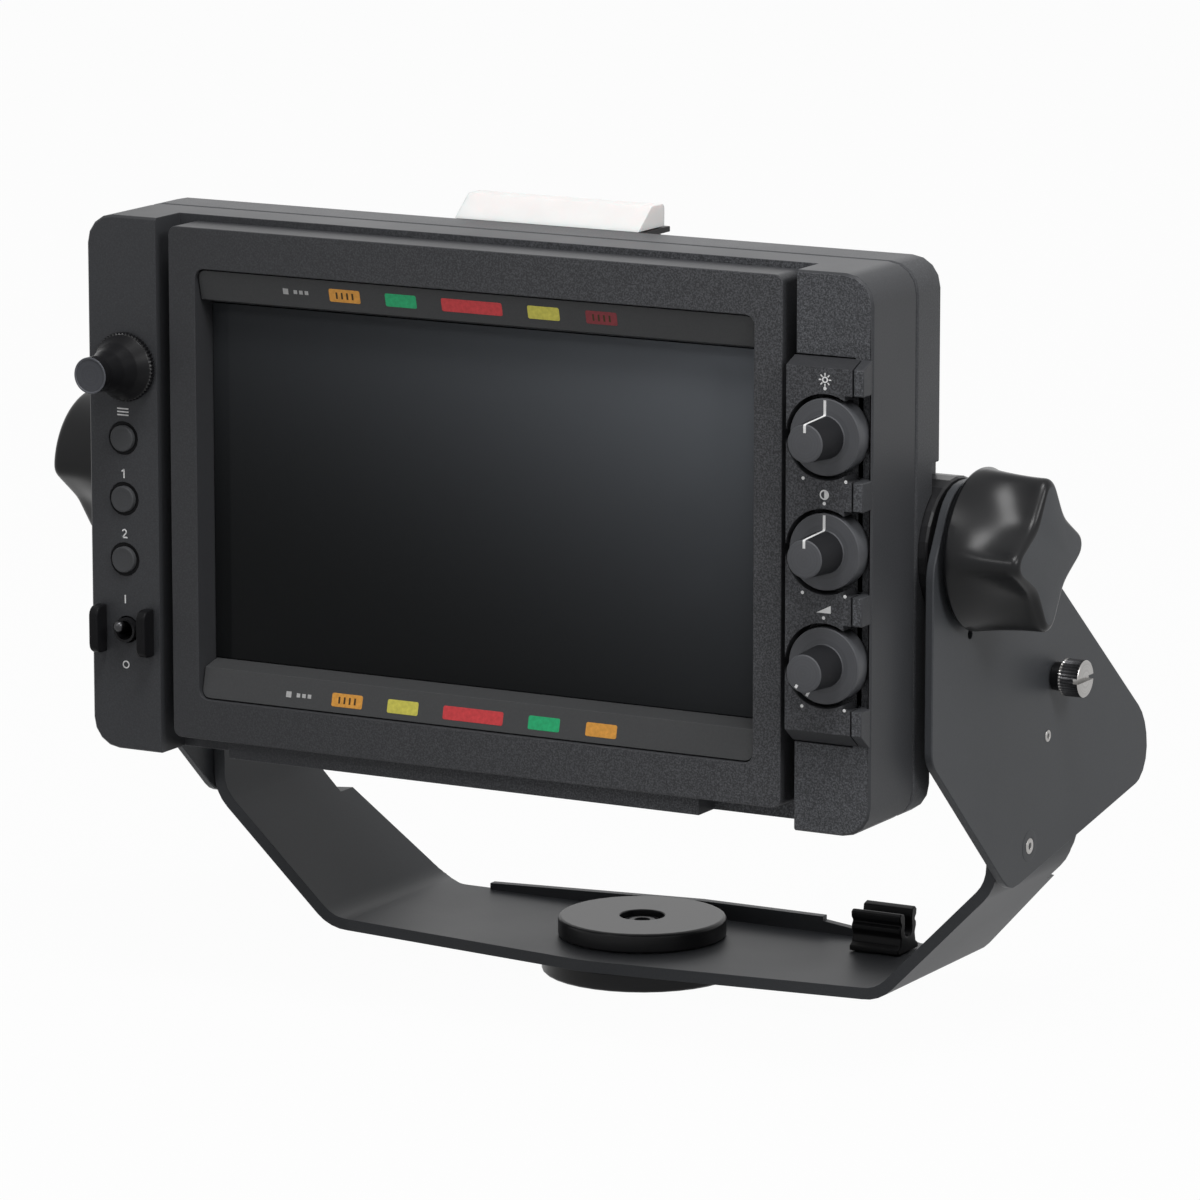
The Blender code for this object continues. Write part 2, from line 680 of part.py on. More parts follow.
# The sheet is a ribbon along the middle of its thickness, folded at four bends.
def folded_sheet():
    half = SHEET_THICKNESS / 2
    bend_shift = half * math.tan(BRACKET_SLOPE_ANGLE / 2)
    base_height = bracket_bottom + half
    base_end = BRACKET_BASE_HALF_WIDTH - bend_shift
    arm_middle = BRACKET_ARM_INNER + half
    slope_top = base_height + (arm_middle - base_end) * math.tan(BRACKET_SLOPE_ANGLE)
    right = [
        (base_end, base_height, BRACKET_BEND_RADIUS),
        (arm_middle, slope_top, BRACKET_BEND_RADIUS),
        (arm_middle, TILT_AXIS_HEIGHT),
    ]
    left = [(-corner[0], *corner[1:]) for corner in reversed(right)]
    curve = bpy.data.curves.new("u_bracket", "CURVE")
    curve.dimensions = "2D"
    curve.fill_mode = "NONE"
    curve.extrude = BRACKET_NOSE_FRONT + BRACKET_EAR_BACK
    corners = left + right
    points = [corners[0]]
    for before, corner, after in zip(corners, corners[1:], corners[2:]):
        points += fillet(before[:2], corner[:2], after[:2], corner[2])
    points.append(corners[-1])
    spline = curve.splines.new("POLY")
    spline.points.add(len(points) - 1)
    for point, (x, y) in zip(spline.points, points):
        point.co = (x, y, 0, 1)
    return baked(bpy.data.objects.new("u_bracket", curve))


def bracket_plan():
    right = [
        (BRACKET_SHOULDER_HALF_WIDTH, -BRACKET_SHOULDER_FRONT, BRACKET_CORNER_RADIUS),
        (arm_outer + CUT_OVERRUN, -BRACKET_ARM_FRONT),
        (arm_outer + CUT_OVERRUN, BRACKET_ARM_BACK),
        (BRACKET_EAR_HALF_WIDTH, BRACKET_EAR_BACK, BRACKET_CORNER_RADIUS),
        (BRACKET_EAR_START, BRACKET_BACK, BRACKET_CORNER_RADIUS),
    ]
    left = [(-corner[0], *corner[1:]) for corner in reversed(right)]
    return [(0, -BRACKET_NOSE_FRONT, BRACKET_NOSE_RADIUS)] + right + left


# Side view of the bracket: the base stays whole and the arms are trimmed along the plates.
def bracket_side():
    below = -CUT_OVERRUN
    front = -(BRACKET_NOSE_FRONT + CUT_OVERRUN)
    back = BRACKET_EAR_BACK + CUT_OVERRUN
    shelf = ARM_KNEE_HEIGHT - ARM_KNEE_RADIUS - CUT_OVERRUN
    arm_top = TILT_AXIS_HEIGHT - ARM_TOP_DROP
    arm_lead = -(TILT_AXIS_FRONT + PLATE_FRONT + ARM_PLATE_LEAD)
    plate_slope = (PLATE_TIP_DROP - PLATE_KNEE_DROP) / (PLATE_TIP_BACK + PLATE_FRONT)
    knee_top = ARM_KNEE_HEIGHT + (-BRACKET_ARM_FRONT - arm_lead) * plate_slope
    return [
        (front, below),
        (back, below),
        (back, shelf),
        (BRACKET_ARM_BACK, shelf),
        (BRACKET_ARM_BACK, ARM_BACK_HEIGHT),
        (ARM_BACK_REACH, ARM_WIDE_HEIGHT, BRACKET_CORNER_RADIUS),
        (ARM_SHOULDER_BACK - TILT_AXIS_FRONT, TILT_AXIS_HEIGHT - ARM_SHOULDER_DROP, BRACKET_CORNER_RADIUS),
        (ARM_TOP_BACK - TILT_AXIS_FRONT, arm_top, BRACKET_CORNER_RADIUS),
        (arm_lead, arm_top, BRACKET_CORNER_RADIUS),
        (arm_lead, knee_top, BRACKET_CORNER_RADIUS),
        (-BRACKET_ARM_FRONT, ARM_KNEE_HEIGHT, ARM_KNEE_RADIUS),
        (-BRACKET_ARM_FRONT, shelf),
        (front, shelf),
    ]


def back_lip():
    root = bracket_top - SHEET_THICKNESS / 2
    corners = [
        (-LIP_LEFT, root),
        (LIP_RIGHT, root),
        (LIP_RIGHT, bracket_top),
        (LIP_STEP, bracket_top + LIP_STEP_HEIGHT),
        (LIP_STEP, bracket_top + LIP_HEIGHT),
        (LIP_HIGH_START, bracket_top + LIP_HEIGHT),
        (-LIP_LEFT, bracket_top + LIP_LEFT_HEIGHT),
    ]
    lip = prism("back_lip", corners, LIP_THICKNESS)
    place(lip, (0, BRACKET_BACK + TOUCH_GAP - LIP_THICKNESS / 2, 0), FRONTWARD, swivel_axis)
    return lip


def make_bracket():
    bracket = as_part(folded_sheet(), "bracket_paint")
    place(bracket, (0, 0, 0), FRONTWARD, swivel_axis)
    sheet = bracket.modifiers.new("sheet", "SOLIDIFY")
    sheet.thickness = SHEET_THICKNESS
    sheet.offset = 0
    sheet.use_even_offset = True
    plan = prism("bracket_plan", bracket_plan(), TILT_AXIS_HEIGHT + TILT_AXIS_HEIGHT)
    place(plan, (0, 0, 0), FLAT, swivel_axis)
    keep(bracket, plan)
    side = prism("bracket_side", bracket_side(), arm_outer + arm_outer + CUT_OVERRUN)
    place(side, (0, 0, 0), SIDEWAYS, swivel_axis)
    keep(bracket, side)
    join(bracket, back_lip())
    spigot_hole = rod("spigot_hole", SPIGOT_RADIUS + TOUCH_GAP, SHEET_THICKNESS + CUT_OVERRUN, ROUND_STEPS)
    place(spigot_hole, (0, 0, bracket_bottom + SHEET_THICKNESS / 2), FLAT, swivel_axis)
    cut(bracket, spigot_hole)
    screw_hole = rod("thumbscrew_hole", THUMBSCREW_SHANK_RADIUS + TOUCH_GAP, SHEET_THICKNESS + CUT_OVERRUN)
    back = THUMBSCREW_BACK - TILT_AXIS_FRONT
    height = TILT_AXIS_HEIGHT - THUMBSCREW_DROP
    place(screw_hole, (BRACKET_ARM_INNER + SHEET_THICKNESS / 2, back, height), TO_RIGHT, swivel_axis)
    cut(bracket, screw_hole)


def make_cable_clamp():
    floor = bracket_top + TOUCH_GAP
    back = CLAMP_FRONT + CLAMP_DEPTH
    slot_front = CLAMP_FRONT + (CLAMP_DEPTH - CLAMP_SLOT_WIDTH) / 2
    slot_back = slot_front + CLAMP_SLOT_WIDTH
    slot_floor = floor + CLAMP_SLOT_FLOOR
    slot_radius = CLAMP_SLOT_WIDTH / 2
    corners = [
        (CLAMP_FRONT, floor),
        (back, floor),
        (back, floor + CLAMP_BACK_HEIGHT, CLAMP_EDGE),
        (slot_back, floor + CLAMP_BACK_HEIGHT, CLAMP_EDGE),
        (slot_back, slot_floor, slot_radius),
        (slot_front, slot_floor, slot_radius),
        (slot_front, floor + CLAMP_FRONT_HEIGHT, CLAMP_EDGE),
        (CLAMP_FRONT, floor + CLAMP_FRONT_HEIGHT, CLAMP_EDGE),
    ]
    clamp = as_part(prism("cable_clamp", corners, CLAMP_LENGTH), "part_black")
    place(clamp, (CLAMP_LEFT + CLAMP_LENGTH / 2, 0, 0), SIDEWAYS, swivel_axis)


def make_side_plate(name, side):
    corners = [
        (-PLATE_FRONT, -PLATE_FRONT_TOP_DROP, PLATE_CROWN_RADIUS),
        (-PLATE_FRONT, -PLATE_KNEE_DROP, PLATE_KNEE_RADIUS),
        (PLATE_TIP_BACK, -PLATE_TIP_DROP, PLATE_TIP_RADIUS),
        (PLATE_HEEL_BACK, -PLATE_HEEL_DROP, PLATE_HEEL_RADIUS),
        (PLATE_HEEL_BACK, -PLATE_SHOULDER_DROP, PLATE_SHOULDER_RADIUS),
        (PLATE_CROWN_BACK, PLATE_CROWN, PLATE_CROWN_RADIUS),
        (-PLATE_CROWN_FRONT, PLATE_CROWN, PLATE_CROWN_RADIUS),
    ]
    plate = as_part(soften(prism(name, corners, PLATE_THICKNESS), PLATE_EDGE), "plate_paint")
    across = side * (plate_inner + plate_outer) / 2
    place(plate, (across, -TILT_AXIS_FRONT, TILT_AXIS_HEIGHT), SIDEWAYS, swivel_axis)
    holes = [
        ("stud", TILT_STUD_RADIUS + TOUCH_GAP, 0, 0),
        ("stop", PLATE_STOP_HOLE_RADIUS, -PLATE_STOP_HOLE_FRONT, PLATE_STOP_HOLE_DROP),
    ]
    if side > 0:
        holes.append(("screw", THUMBSCREW_SHANK_RADIUS + TOUCH_GAP, THUMBSCREW_BACK, THUMBSCREW_DROP))
    for label, radius, back, drop in holes:
        hole = rod(f"{name}_{label}_hole", radius, PLATE_THICKNESS + CUT_OVERRUN)
        place(hole, (across, back - TILT_AXIS_FRONT, TILT_AXIS_HEIGHT - drop), TO_RIGHT, swivel_axis)
        cut(plate, hole)


def make_thumbscrew():
    axis = add_empty(
        "thumbscrew_axis",
        (plate_outer, THUMBSCREW_BACK - TILT_AXIS_FRONT, TILT_AXIS_HEIGHT - THUMBSCREW_DROP),
        swivel_axis,
    )
    collar_end = TOUCH_GAP + THUMBSCREW_COLLAR_LENGTH
    face = collar_end + THUMBSCREW_HEAD_LENGTH
    tip = BRACKET_ARM_INNER + THUMBSCREW_SHANK_SHORTFALL - plate_outer
    profile = [
        (0, face),
        (THUMBSCREW_RADIUS - THUMBSCREW_EDGE, face),
        (THUMBSCREW_RADIUS, face - THUMBSCREW_EDGE),
        (THUMBSCREW_RADIUS, collar_end),
        (THUMBSCREW_COLLAR_RADIUS, collar_end),
        (THUMBSCREW_COLLAR_RADIUS, TOUCH_GAP),
        (THUMBSCREW_SHANK_RADIUS, TOUCH_GAP),
        (THUMBSCREW_SHANK_RADIUS, tip),
        (0, tip),
    ]
    screw = as_part(turned("right_thumbscrew", profile), "nickel")
    place(screw, (0, 0, 0), TO_RIGHT, axis)
    slot_length = 2 * THUMBSCREW_RADIUS + CUT_OVERRUN
    slot = block("thumbscrew_slot", (2 * THUMBSCREW_SLOT_DEPTH, slot_length, THUMBSCREW_SLOT_WIDTH))
    place(slot, (face, 0, 0), FLAT, axis)
    cut(screw, slot)


def make_tilt_washer(name, facing):
    bottom = BOSS_OUTER + TOUCH_GAP
    top = plate_inner - TOUCH_GAP
    washer = ring(name, TILT_STUD_RADIUS + TOUCH_GAP, TILT_WASHER_RADIUS, bottom, top)
    place(as_part(washer, "washer_nylon"), (0, 0, 0), facing, tilt_axis)


def make_boss(name, facing):
    hole = TILT_STUD_RADIUS + TOUCH_GAP
    floor = BOSS_OUTER - TILT_STUD_DEPTH
    profile = [
        (0, floor),
        (hole, floor),
        (hole, BOSS_OUTER),
        (BOSS_RADIUS - BOSS_EDGE, BOSS_OUTER),
        (BOSS_RADIUS, BOSS_OUTER - BOSS_EDGE),
        (BOSS_RADIUS, BOSS_INNER),
        (0, BOSS_INNER),
    ]
    place(as_part(turned(name, profile), "black_metal"), (0, 0, 0), facing, tilt_axis)


# Between two lobes the face has either a finger scallop or a plain round side.
def lobed_outline(scallops):
    side = 2 * math.pi / TILT_KNOB_LOBES
    spots = []
    for index in range(TILT_KNOB_LOBES):
        start = index * side
        sharp = index in scallops and (index - 1) % TILT_KNOB_LOBES in scallops
        lobe = TILT_KNOB_LOBE_RADIUS if sharp else TILT_KNOB_ROUND_RADIUS
        spots.append((lobe, start, TILT_KNOB_LOBE_ROUNDING))
        if index in scallops:
            spots.append((TILT_KNOB_WAIST_RADIUS, start + side / 2, TILT_KNOB_WAIST_ROUNDING))
        else:
            spots += [(TILT_KNOB_ROUND_RADIUS, start + side * share, 0) for share in ROUND_SIDE_SHARES]
    corners = [(radius * math.cos(angle), radius * math.sin(angle), bend) for radius, angle, bend in spots]
    return [Vector(point) for point in rounded(corners)]


# The knob is a loft: each ring blends the lobed outline of the face into the round heel.
def tilt_knob_mesh(name, start, scallops):
    lobed = lobed_outline(scallops)
    end = start + TILT_KNOB_LENGTH
    rings = [(start, 0, TILT_KNOB_HEEL)]
    for step in range(TILT_KNOB_RINGS + 1):
        share = step / TILT_KNOB_RINGS
        height = start + TILT_KNOB_HEEL + share * (TILT_KNOB_LENGTH - TILT_KNOB_HEEL - TILT_KNOB_EDGE)
        rings.append((height, math.sin(share * math.pi / 2), 0))
    rings.append((end, 1, TILT_KNOB_EDGE))
    bm = bmesh.new()
    rows = []
    for height, share, inset in rings:
        row = []
        for point in lobed:
            radius = (1 - share) * TILT_KNOB_INNER_RADIUS + share * point.length - inset
            spot = point.normalized() * radius
            row.append(bm.verts.new((spot.x, spot.y, height)))
        rows.append(row)
    count = len(lobed)
    for lower, upper in zip(rows, rows[1:]):
        for index in range(count):
            after = (index + 1) % count
            bm.faces.new((lower[index], lower[after], upper[after], upper[index]))
    bm.faces.new(rows[-1])
    bm.faces.new(list(reversed(rows[0])))
    mesh = bpy.data.meshes.new(name)
    bmesh.ops.recalc_face_normals(bm, faces=bm.faces)
    bm.to_mesh(mesh)
    bm.free()
    return smooth(bpy.data.objects.new(name, mesh))


def make_tilt_knob(side_name, side, facing, scallops):
    axis = add_empty(f"{side_name}_tilt_knob_axis", (side * plate_outer, 0, 0), tilt_axis)
    washer_start = TOUCH_GAP
    washer_end = washer_start + KNOB_WASHER_THICKNESS
    stud_hole = TILT_STUD_RADIUS + TOUCH_GAP
    washer = ring(f"{side_name}_knob_washer", stud_hole, KNOB_WASHER_RADIUS, washer_start, washer_end)
    place(as_part(washer, "black_metal"), (0, 0, 0), facing, axis)
    knob_start = washer_end + TOUCH_GAP
    knob = as_part(tilt_knob_mesh(f"{side_name}_tilt_knob", knob_start, scallops), "knob_plastic")
    place(knob, (0, 0, 0), facing, axis)
    bore = rod(f"{side_name}_tilt_knob_bore", stud_hole, 2 * TILT_KNOB_BORE_DEPTH)
    place(bore, (side * knob_start, 0, 0), facing, axis)
    cut(knob, bore)
    inner = BOSS_OUTER - TILT_STUD_DEPTH + TOUCH_GAP - plate_outer
    outer = knob_start + TILT_KNOB_BORE_DEPTH - TOUCH_GAP
    stud = rod(f"{side_name}_tilt_stud", TILT_STUD_RADIUS, outer - inner)
    place(as_part(stud, "steel"), (side * (outer + inner) / 2, 0, 0), facing, axis)


def make_front_housing():
    outline = rectangle(-BODY_HALF_WIDTH, BODY_HALF_WIDTH, -BODY_BOTTOM, BODY_TOP, BODY_CORNER_RADIUS)
    depth = SEAM_BACK - TOUCH_GAP / 2
    housing = as_part(soften(prism("front_housing", outline, depth), BODY_EDGE), "housing_plastic")
    place(housing, (0, depth / 2, 0), FRONTWARD, screen_centre)
    above = BODY_TOP + CUT_OVERRUN
    below = -BODY_BOTTOM - CUT_OVERRUN
    bezel_seat = -BEZEL_HALF_HEIGHT - TOUCH_GAP
    recess = [
        (-COLUMN_INNER, above),
        (-COLUMN_INNER, below),
        (-LEDGE_LEFT, below),
        (-LEDGE_LEFT, bezel_seat),
        (LEDGE_RIGHT, bezel_seat),
        (LEDGE_RIGHT, below),
        (COLUMN_INNER, below),
        (COLUMN_INNER, above),
    ]
    screen_recess = prism("screen_recess", recess, LIP_PLANE + LIP_PLANE)
    place(screen_recess, (0, 0, 0), FRONTWARD, screen_centre)
    cut(housing, screen_recess)
    ledge_width = LEDGE_LEFT + LEDGE_RIGHT + CUT_OVERRUN
    ledge_height = 2 * (BODY_BOTTOM + bezel_seat) + CUT_OVERRUN
    ledge_front = block("ledge_front", (ledge_width, 2 * LEDGE_FRONT, ledge_height))
    place(ledge_front, ((LEDGE_RIGHT - LEDGE_LEFT) / 2, 0, -BODY_BOTTOM), FLAT, screen_centre)
    cut(housing, ledge_front)
    cavity_front = LIP_PLANE + HOUSING_WALL
    cavity_back = SEAM_BACK + CUT_OVERRUN
    cavity = prism(
        "front_cavity",
        rectangle(
            HOUSING_WALL - BODY_HALF_WIDTH,
            BODY_HALF_WIDTH - HOUSING_WALL,
            HOUSING_WALL - BODY_BOTTOM,
            BODY_TOP - HOUSING_WALL,
            BODY_CORNER_RADIUS - HOUSING_WALL,
        ),
        cavity_back - cavity_front,
    )
    place(cavity, (0, (cavity_back + cavity_front) / 2, 0), FRONTWARD, screen_centre)
    cut(housing, cavity)
    column_width = BODY_HALF_WIDTH - COLUMN_INNER - 2 * HOUSING_WALL
    column_height = BODY_TOP + BODY_BOTTOM - 4 * HOUSING_WALL
    column_middle = (BODY_HALF_WIDTH + COLUMN_INNER) / 2
    for label, side, front in (("left", -1, HOUSING_WALL), ("right", 1, POT_SEAT_BACK)):
        column = block(f"{label}_column_cavity", (column_width, cavity_back - front, column_height))
        place(
            column,
            (side * column_middle, (cavity_back + front) / 2, (BODY_TOP - BODY_BOTTOM) / 2),
            FLAT,
            screen_centre,
        )
        cut(housing, column)
    window = block(
        "panel_window", (2 * PANEL_WINDOW_HALF_WIDTH, 2 * LIP_PLANE, 2 * PANEL_WINDOW_HALF_HEIGHT)
    )
    place(window, (0, LIP_PLANE + HOUSING_WALL / 2, 0), FLAT, screen_centre)
    cut(housing, window)
    cut_knob_panel_seat(housing)
    cut_left_controls(housing)


def knob_heights():
    return [KNOB_PITCH * (1 - index) for index in range(len(KNOB_NAMES))]


def button_heights():
    return [BUTTON_TOP_HEIGHT - BUTTON_PITCH * index for index in range(len(BUTTON_NAMES))]


def cut_knob_panel_seat(housing):
    seat_right = PANEL_RIGHT + TOUCH_GAP
    seat_left = COLUMN_INNER - CUT_OVERRUN
    seat_back = PANEL_SEAT_DEPTH + TOUCH_GAP
    bottom = -PANEL_BOTTOM - TOUCH_GAP
    top = PANEL_TOP + TOUCH_GAP
    seat = block("panel_seat", (seat_right - seat_left, 2 * seat_back, top - bottom))
    place(seat, ((seat_right + seat_left) / 2, 0, (top + bottom) / 2), FLAT, screen_centre)
    cut(housing, seat)
    notch_left = seat_right - HOUSING_WALL
    notch_size = (POCKET_NOTCH_RIGHT - notch_left, 2 * POCKET_FLOOR, 2 * POCKET_NOTCH_HALF_HEIGHT)
    bushing_hole_radius = POT_BUSHING_RADIUS + TOUCH_GAP
    for name, height in zip(KNOB_NAMES, knob_heights()):
        notch = block(f"{name}_notch", notch_size)
        place(notch, ((POCKET_NOTCH_RIGHT + notch_left) / 2, 0, height), FLAT, screen_centre)
        cut(housing, notch)
        bushing_hole = rod(f"{name}_bushing_hole", bushing_hole_radius, POT_SEAT_BACK + CUT_OVERRUN)
        place(bushing_hole, (KNOB_ACROSS, POT_SEAT_BACK, height), FRONTWARD, screen_centre)
        cut(housing, bushing_hole)


def cut_left_controls(housing):
    through = HOUSING_WALL + CUT_OVERRUN
    holes = [("dial_hole", POT_BUSHING_RADIUS + TOUCH_GAP, DIAL_ACROSS, DIAL_HEIGHT, through)]
    for name, height in zip(BUTTON_NAMES, button_heights()):
        holes.append((f"{name}_hole", BUTTON_RADIUS + TOUCH_GAP, BUTTON_ACROSS, height, through))
        holes.append((f"{name}_recess", BUTTON_RECESS_RADIUS, BUTTON_ACROSS, height, BUTTON_RECESS_DEPTH))
    holes.append(("toggle_hole", TOGGLE_BUSHING_RADIUS + TOUCH_GAP, TOGGLE_ACROSS, -TOGGLE_DROP, through))
    for name, radius, across, height, depth in holes:
        hole = rod(name, radius, 2 * depth)
        place(hole, (-across, 0, height), FRONTWARD, screen_centre)
        cut(housing, hole)


# Two half-round ears stand on either side of the toggle.
def make_toggle_guards():
    for name, side in (("outer_toggle_guard", -1), ("inner_toggle_guard", 1)):
        corners = [
            (-TOUCH_GAP, -GUARD_HALF_HEIGHT),
            (-TOUCH_GAP, GUARD_HALF_HEIGHT),
            (-GUARD_REACH, GUARD_HALF_HEIGHT, GUARD_REACH - GUARD_ROOT),
            (-GUARD_REACH, -GUARD_HALF_HEIGHT, GUARD_REACH - GUARD_ROOT),
        ]
        guard = as_part(prism(name, corners, GUARD_THICKNESS), "housing_plastic")
        place(guard, (side * GUARD_SPREAD - TOGGLE_ACROSS, 0, -TOGGLE_DROP), SIDEWAYS, screen_centre)


def make_rear_cover():
    outline = rectangle(-BODY_HALF_WIDTH, BODY_HALF_WIDTH, -BODY_BOTTOM, BODY_TOP, BODY_CORNER_RADIUS)
    front = SEAM_BACK + TOUCH_GAP / 2
    cover = as_part(soften(prism("rear_cover", outline, COVER_BACK - front), BODY_EDGE), "housing_plastic")
    place(cover, (0, (COVER_BACK + front) / 2, 0), FRONTWARD, screen_centre)
    step_depth = COVER_BACK + CUT_OVERRUN - COVER_LOWER_BACK
    step_bottom = -BODY_BOTTOM - CUT_OVERRUN
    step_width = 2 * (BODY_HALF_WIDTH + CUT_OVERRUN)
    step = block("cover_step", (step_width, step_depth, COVER_STEP_HEIGHT - step_bottom))
    place(
        step,
        (0, COVER_LOWER_BACK + step_depth / 2, (COVER_STEP_HEIGHT + step_bottom) / 2),
        FLAT,
        screen_centre,
    )
    cut(cover, step)
    cavity_front = SEAM_BACK - CUT_OVERRUN
    cavity_back = COVER_LOWER_BACK - HOUSING_WALL
    cavity = prism(
        "cover_cavity",
        rectangle(
            HOUSING_WALL - BODY_HALF_WIDTH,
            BODY_HALF_WIDTH - HOUSING_WALL,
            HOUSING_WALL - BODY_BOTTOM,
            BODY_TOP - HOUSING_WALL,
            BODY_CORNER_RADIUS - HOUSING_WALL,
        ),
        cavity_back - cavity_front,
    )
    place(cavity, (0, (cavity_back + cavity_front) / 2, 0), FRONTWARD, screen_centre)
    cut(cover, cavity)
    cable_hole = block(
        "cover_cable_hole", (2 * COVER_CABLE_HALF_WIDTH, 2 * COVER_BACK, 2 * COVER_CABLE_HALF_HEIGHT)
    )
    place(cable_hole, (0, 2 * COVER_BACK - SEAM_BACK, 0), FLAT, screen_centre)
    cut(cover, cable_hole)
    for label, side, facing in (("left", -1, TO_LEFT), ("right", 1, TO_RIGHT)):
        length = BODY_HALF_WIDTH + CUT_OVERRUN - BOSS_INNER + TOUCH_GAP
        scallop = rod(f"{label}_boss_scallop", BOSS_RADIUS + TOUCH_GAP, length, LARGE_ROUND_STEPS)
        place(scallop, (side * (BOSS_INNER - TOUCH_GAP + length / 2), 0, 0), facing, tilt_axis)
        cut(cover, scallop)


def make_bezel():
    depth = LIP_PLANE - TOUCH_GAP
    outline = rectangle(
        -BEZEL_HALF_WIDTH, BEZEL_HALF_WIDTH, -BEZEL_HALF_HEIGHT, BEZEL_HALF_HEIGHT, BEZEL_CORNER_RADIUS
    )
    bezel = as_part(prism("bezel_frame", outline, depth), "bezel_plastic")
    place(bezel, (0, depth / 2, 0), FRONTWARD, screen_centre)
    hole = rectangle(
        -OPENING_HALF_WIDTH,
        OPENING_HALF_WIDTH,
        -OPENING_HALF_HEIGHT,
        OPENING_HALF_HEIGHT,
        OPENING_CORNER_RADIUS,
    )
    opening = prism("bezel_opening", hole, depth + CUT_OVERRUN)
    place(opening, (0, depth / 2, 0), FRONTWARD, screen_centre)
    cut(bezel, opening)
    soften(bezel, BEZEL_EDGE)


def make_glass():
    back = LIP_PLANE - TOUCH_GAP
    size = (2 * (OPENING_HALF_WIDTH - TOUCH_GAP), back - GLASS_FRONT, 2 * GLASS_HALF_HEIGHT)
    glass = as_part(block("display_glass", size), "screen_glass")
    place(glass, (0, (back + GLASS_FRONT) / 2, 0), FLAT, screen_centre)


# The light strips fill the bezel opening above and below the glass and slope inwards to it.
def make_light_strip(name, side):
    outer = OPENING_HALF_HEIGHT - TOUCH_GAP
    inner = GLASS_HALF_HEIGHT + TOUCH_GAP
    back = LIP_PLANE - TOUCH_GAP
    corners = [
        (STRIP_OUTER_FRONT, side * outer),
        (STRIP_INNER_FRONT, side * STRIP_INNER_HEIGHT),
        (GLASS_FRONT, side * inner),
        (back, side * inner),
        (back, side * outer),
    ]
    half_width = OPENING_HALF_WIDTH - TOUCH_GAP
    strip = as_part(prism(name, corners, 2 * half_width), "bezel_plastic")
    place(strip, (0, 0, 0), SIDEWAYS, screen_centre)
    depth = back + CUT_OVERRUN
    mask_corners = rectangle(-half_width, half_width, -outer, outer, OPENING_CORNER_RADIUS - TOUCH_GAP)
    mask = prism(f"{name}_mask", mask_corners, 2 * depth)
    place(mask, (0, 0, 0), FRONTWARD, screen_centre)
    keep(strip, mask)


def make_screen_stack():
    front = LIP_PLANE
    lcd = as_part(block("lcd_panel", (2 * LCD_HALF_WIDTH, LCD_THICKNESS, 2 * LCD_HALF_HEIGHT)), "lcd_black")
    place(lcd, (0, front + LCD_THICKNESS / 2, 0), FLAT, screen_centre)
    tray_front = front + LCD_THICKNESS + TOUCH_GAP
    tray_size = (2 * LCD_HALF_WIDTH, BACKLIGHT_THICKNESS, 2 * LCD_HALF_HEIGHT)
    tray = as_part(block("backlight_tray", tray_size), "steel")
    place(tray, (0, tray_front + BACKLIGHT_THICKNESS / 2, 0), FLAT, screen_centre)
    board_front = tray_front + BACKLIGHT_THICKNESS + MAIN_BOARD_STANDOFF
    board_size = (2 * MAIN_BOARD_HALF_WIDTH, MAIN_BOARD_THICKNESS, 2 * MAIN_BOARD_HALF_HEIGHT)
    board = as_part(block("main_board", board_size), "board_green")
    place(board, (0, board_front + MAIN_BOARD_THICKNESS / 2, 0), FLAT, screen_centre)
    add_standoffs(board, board_size, MAIN_BOARD_STANDOFF, -1)


# Four pillars at the corners of a board, towards what carries it.
def add_standoffs(board, size, clearance, towards):
    across = size[0] / 2 - STANDOFF_INSET
    up = size[2] / 2 - STANDOFF_INSET
    length = clearance - TOUCH_GAP + size[1] / 2
    for index, (side, level) in enumerate(((-1, -1), (1, -1), (1, 1), (-1, 1))):
        standoff = rod(f"{board.name}_standoff_{index}", STANDOFF_RADIUS, length)
        spot = (side * across, board.location.y + towards * length / 2, board.location.z + level * up)
        place(standoff, spot, FRONTWARD, screen_centre)
        join(board, standoff)


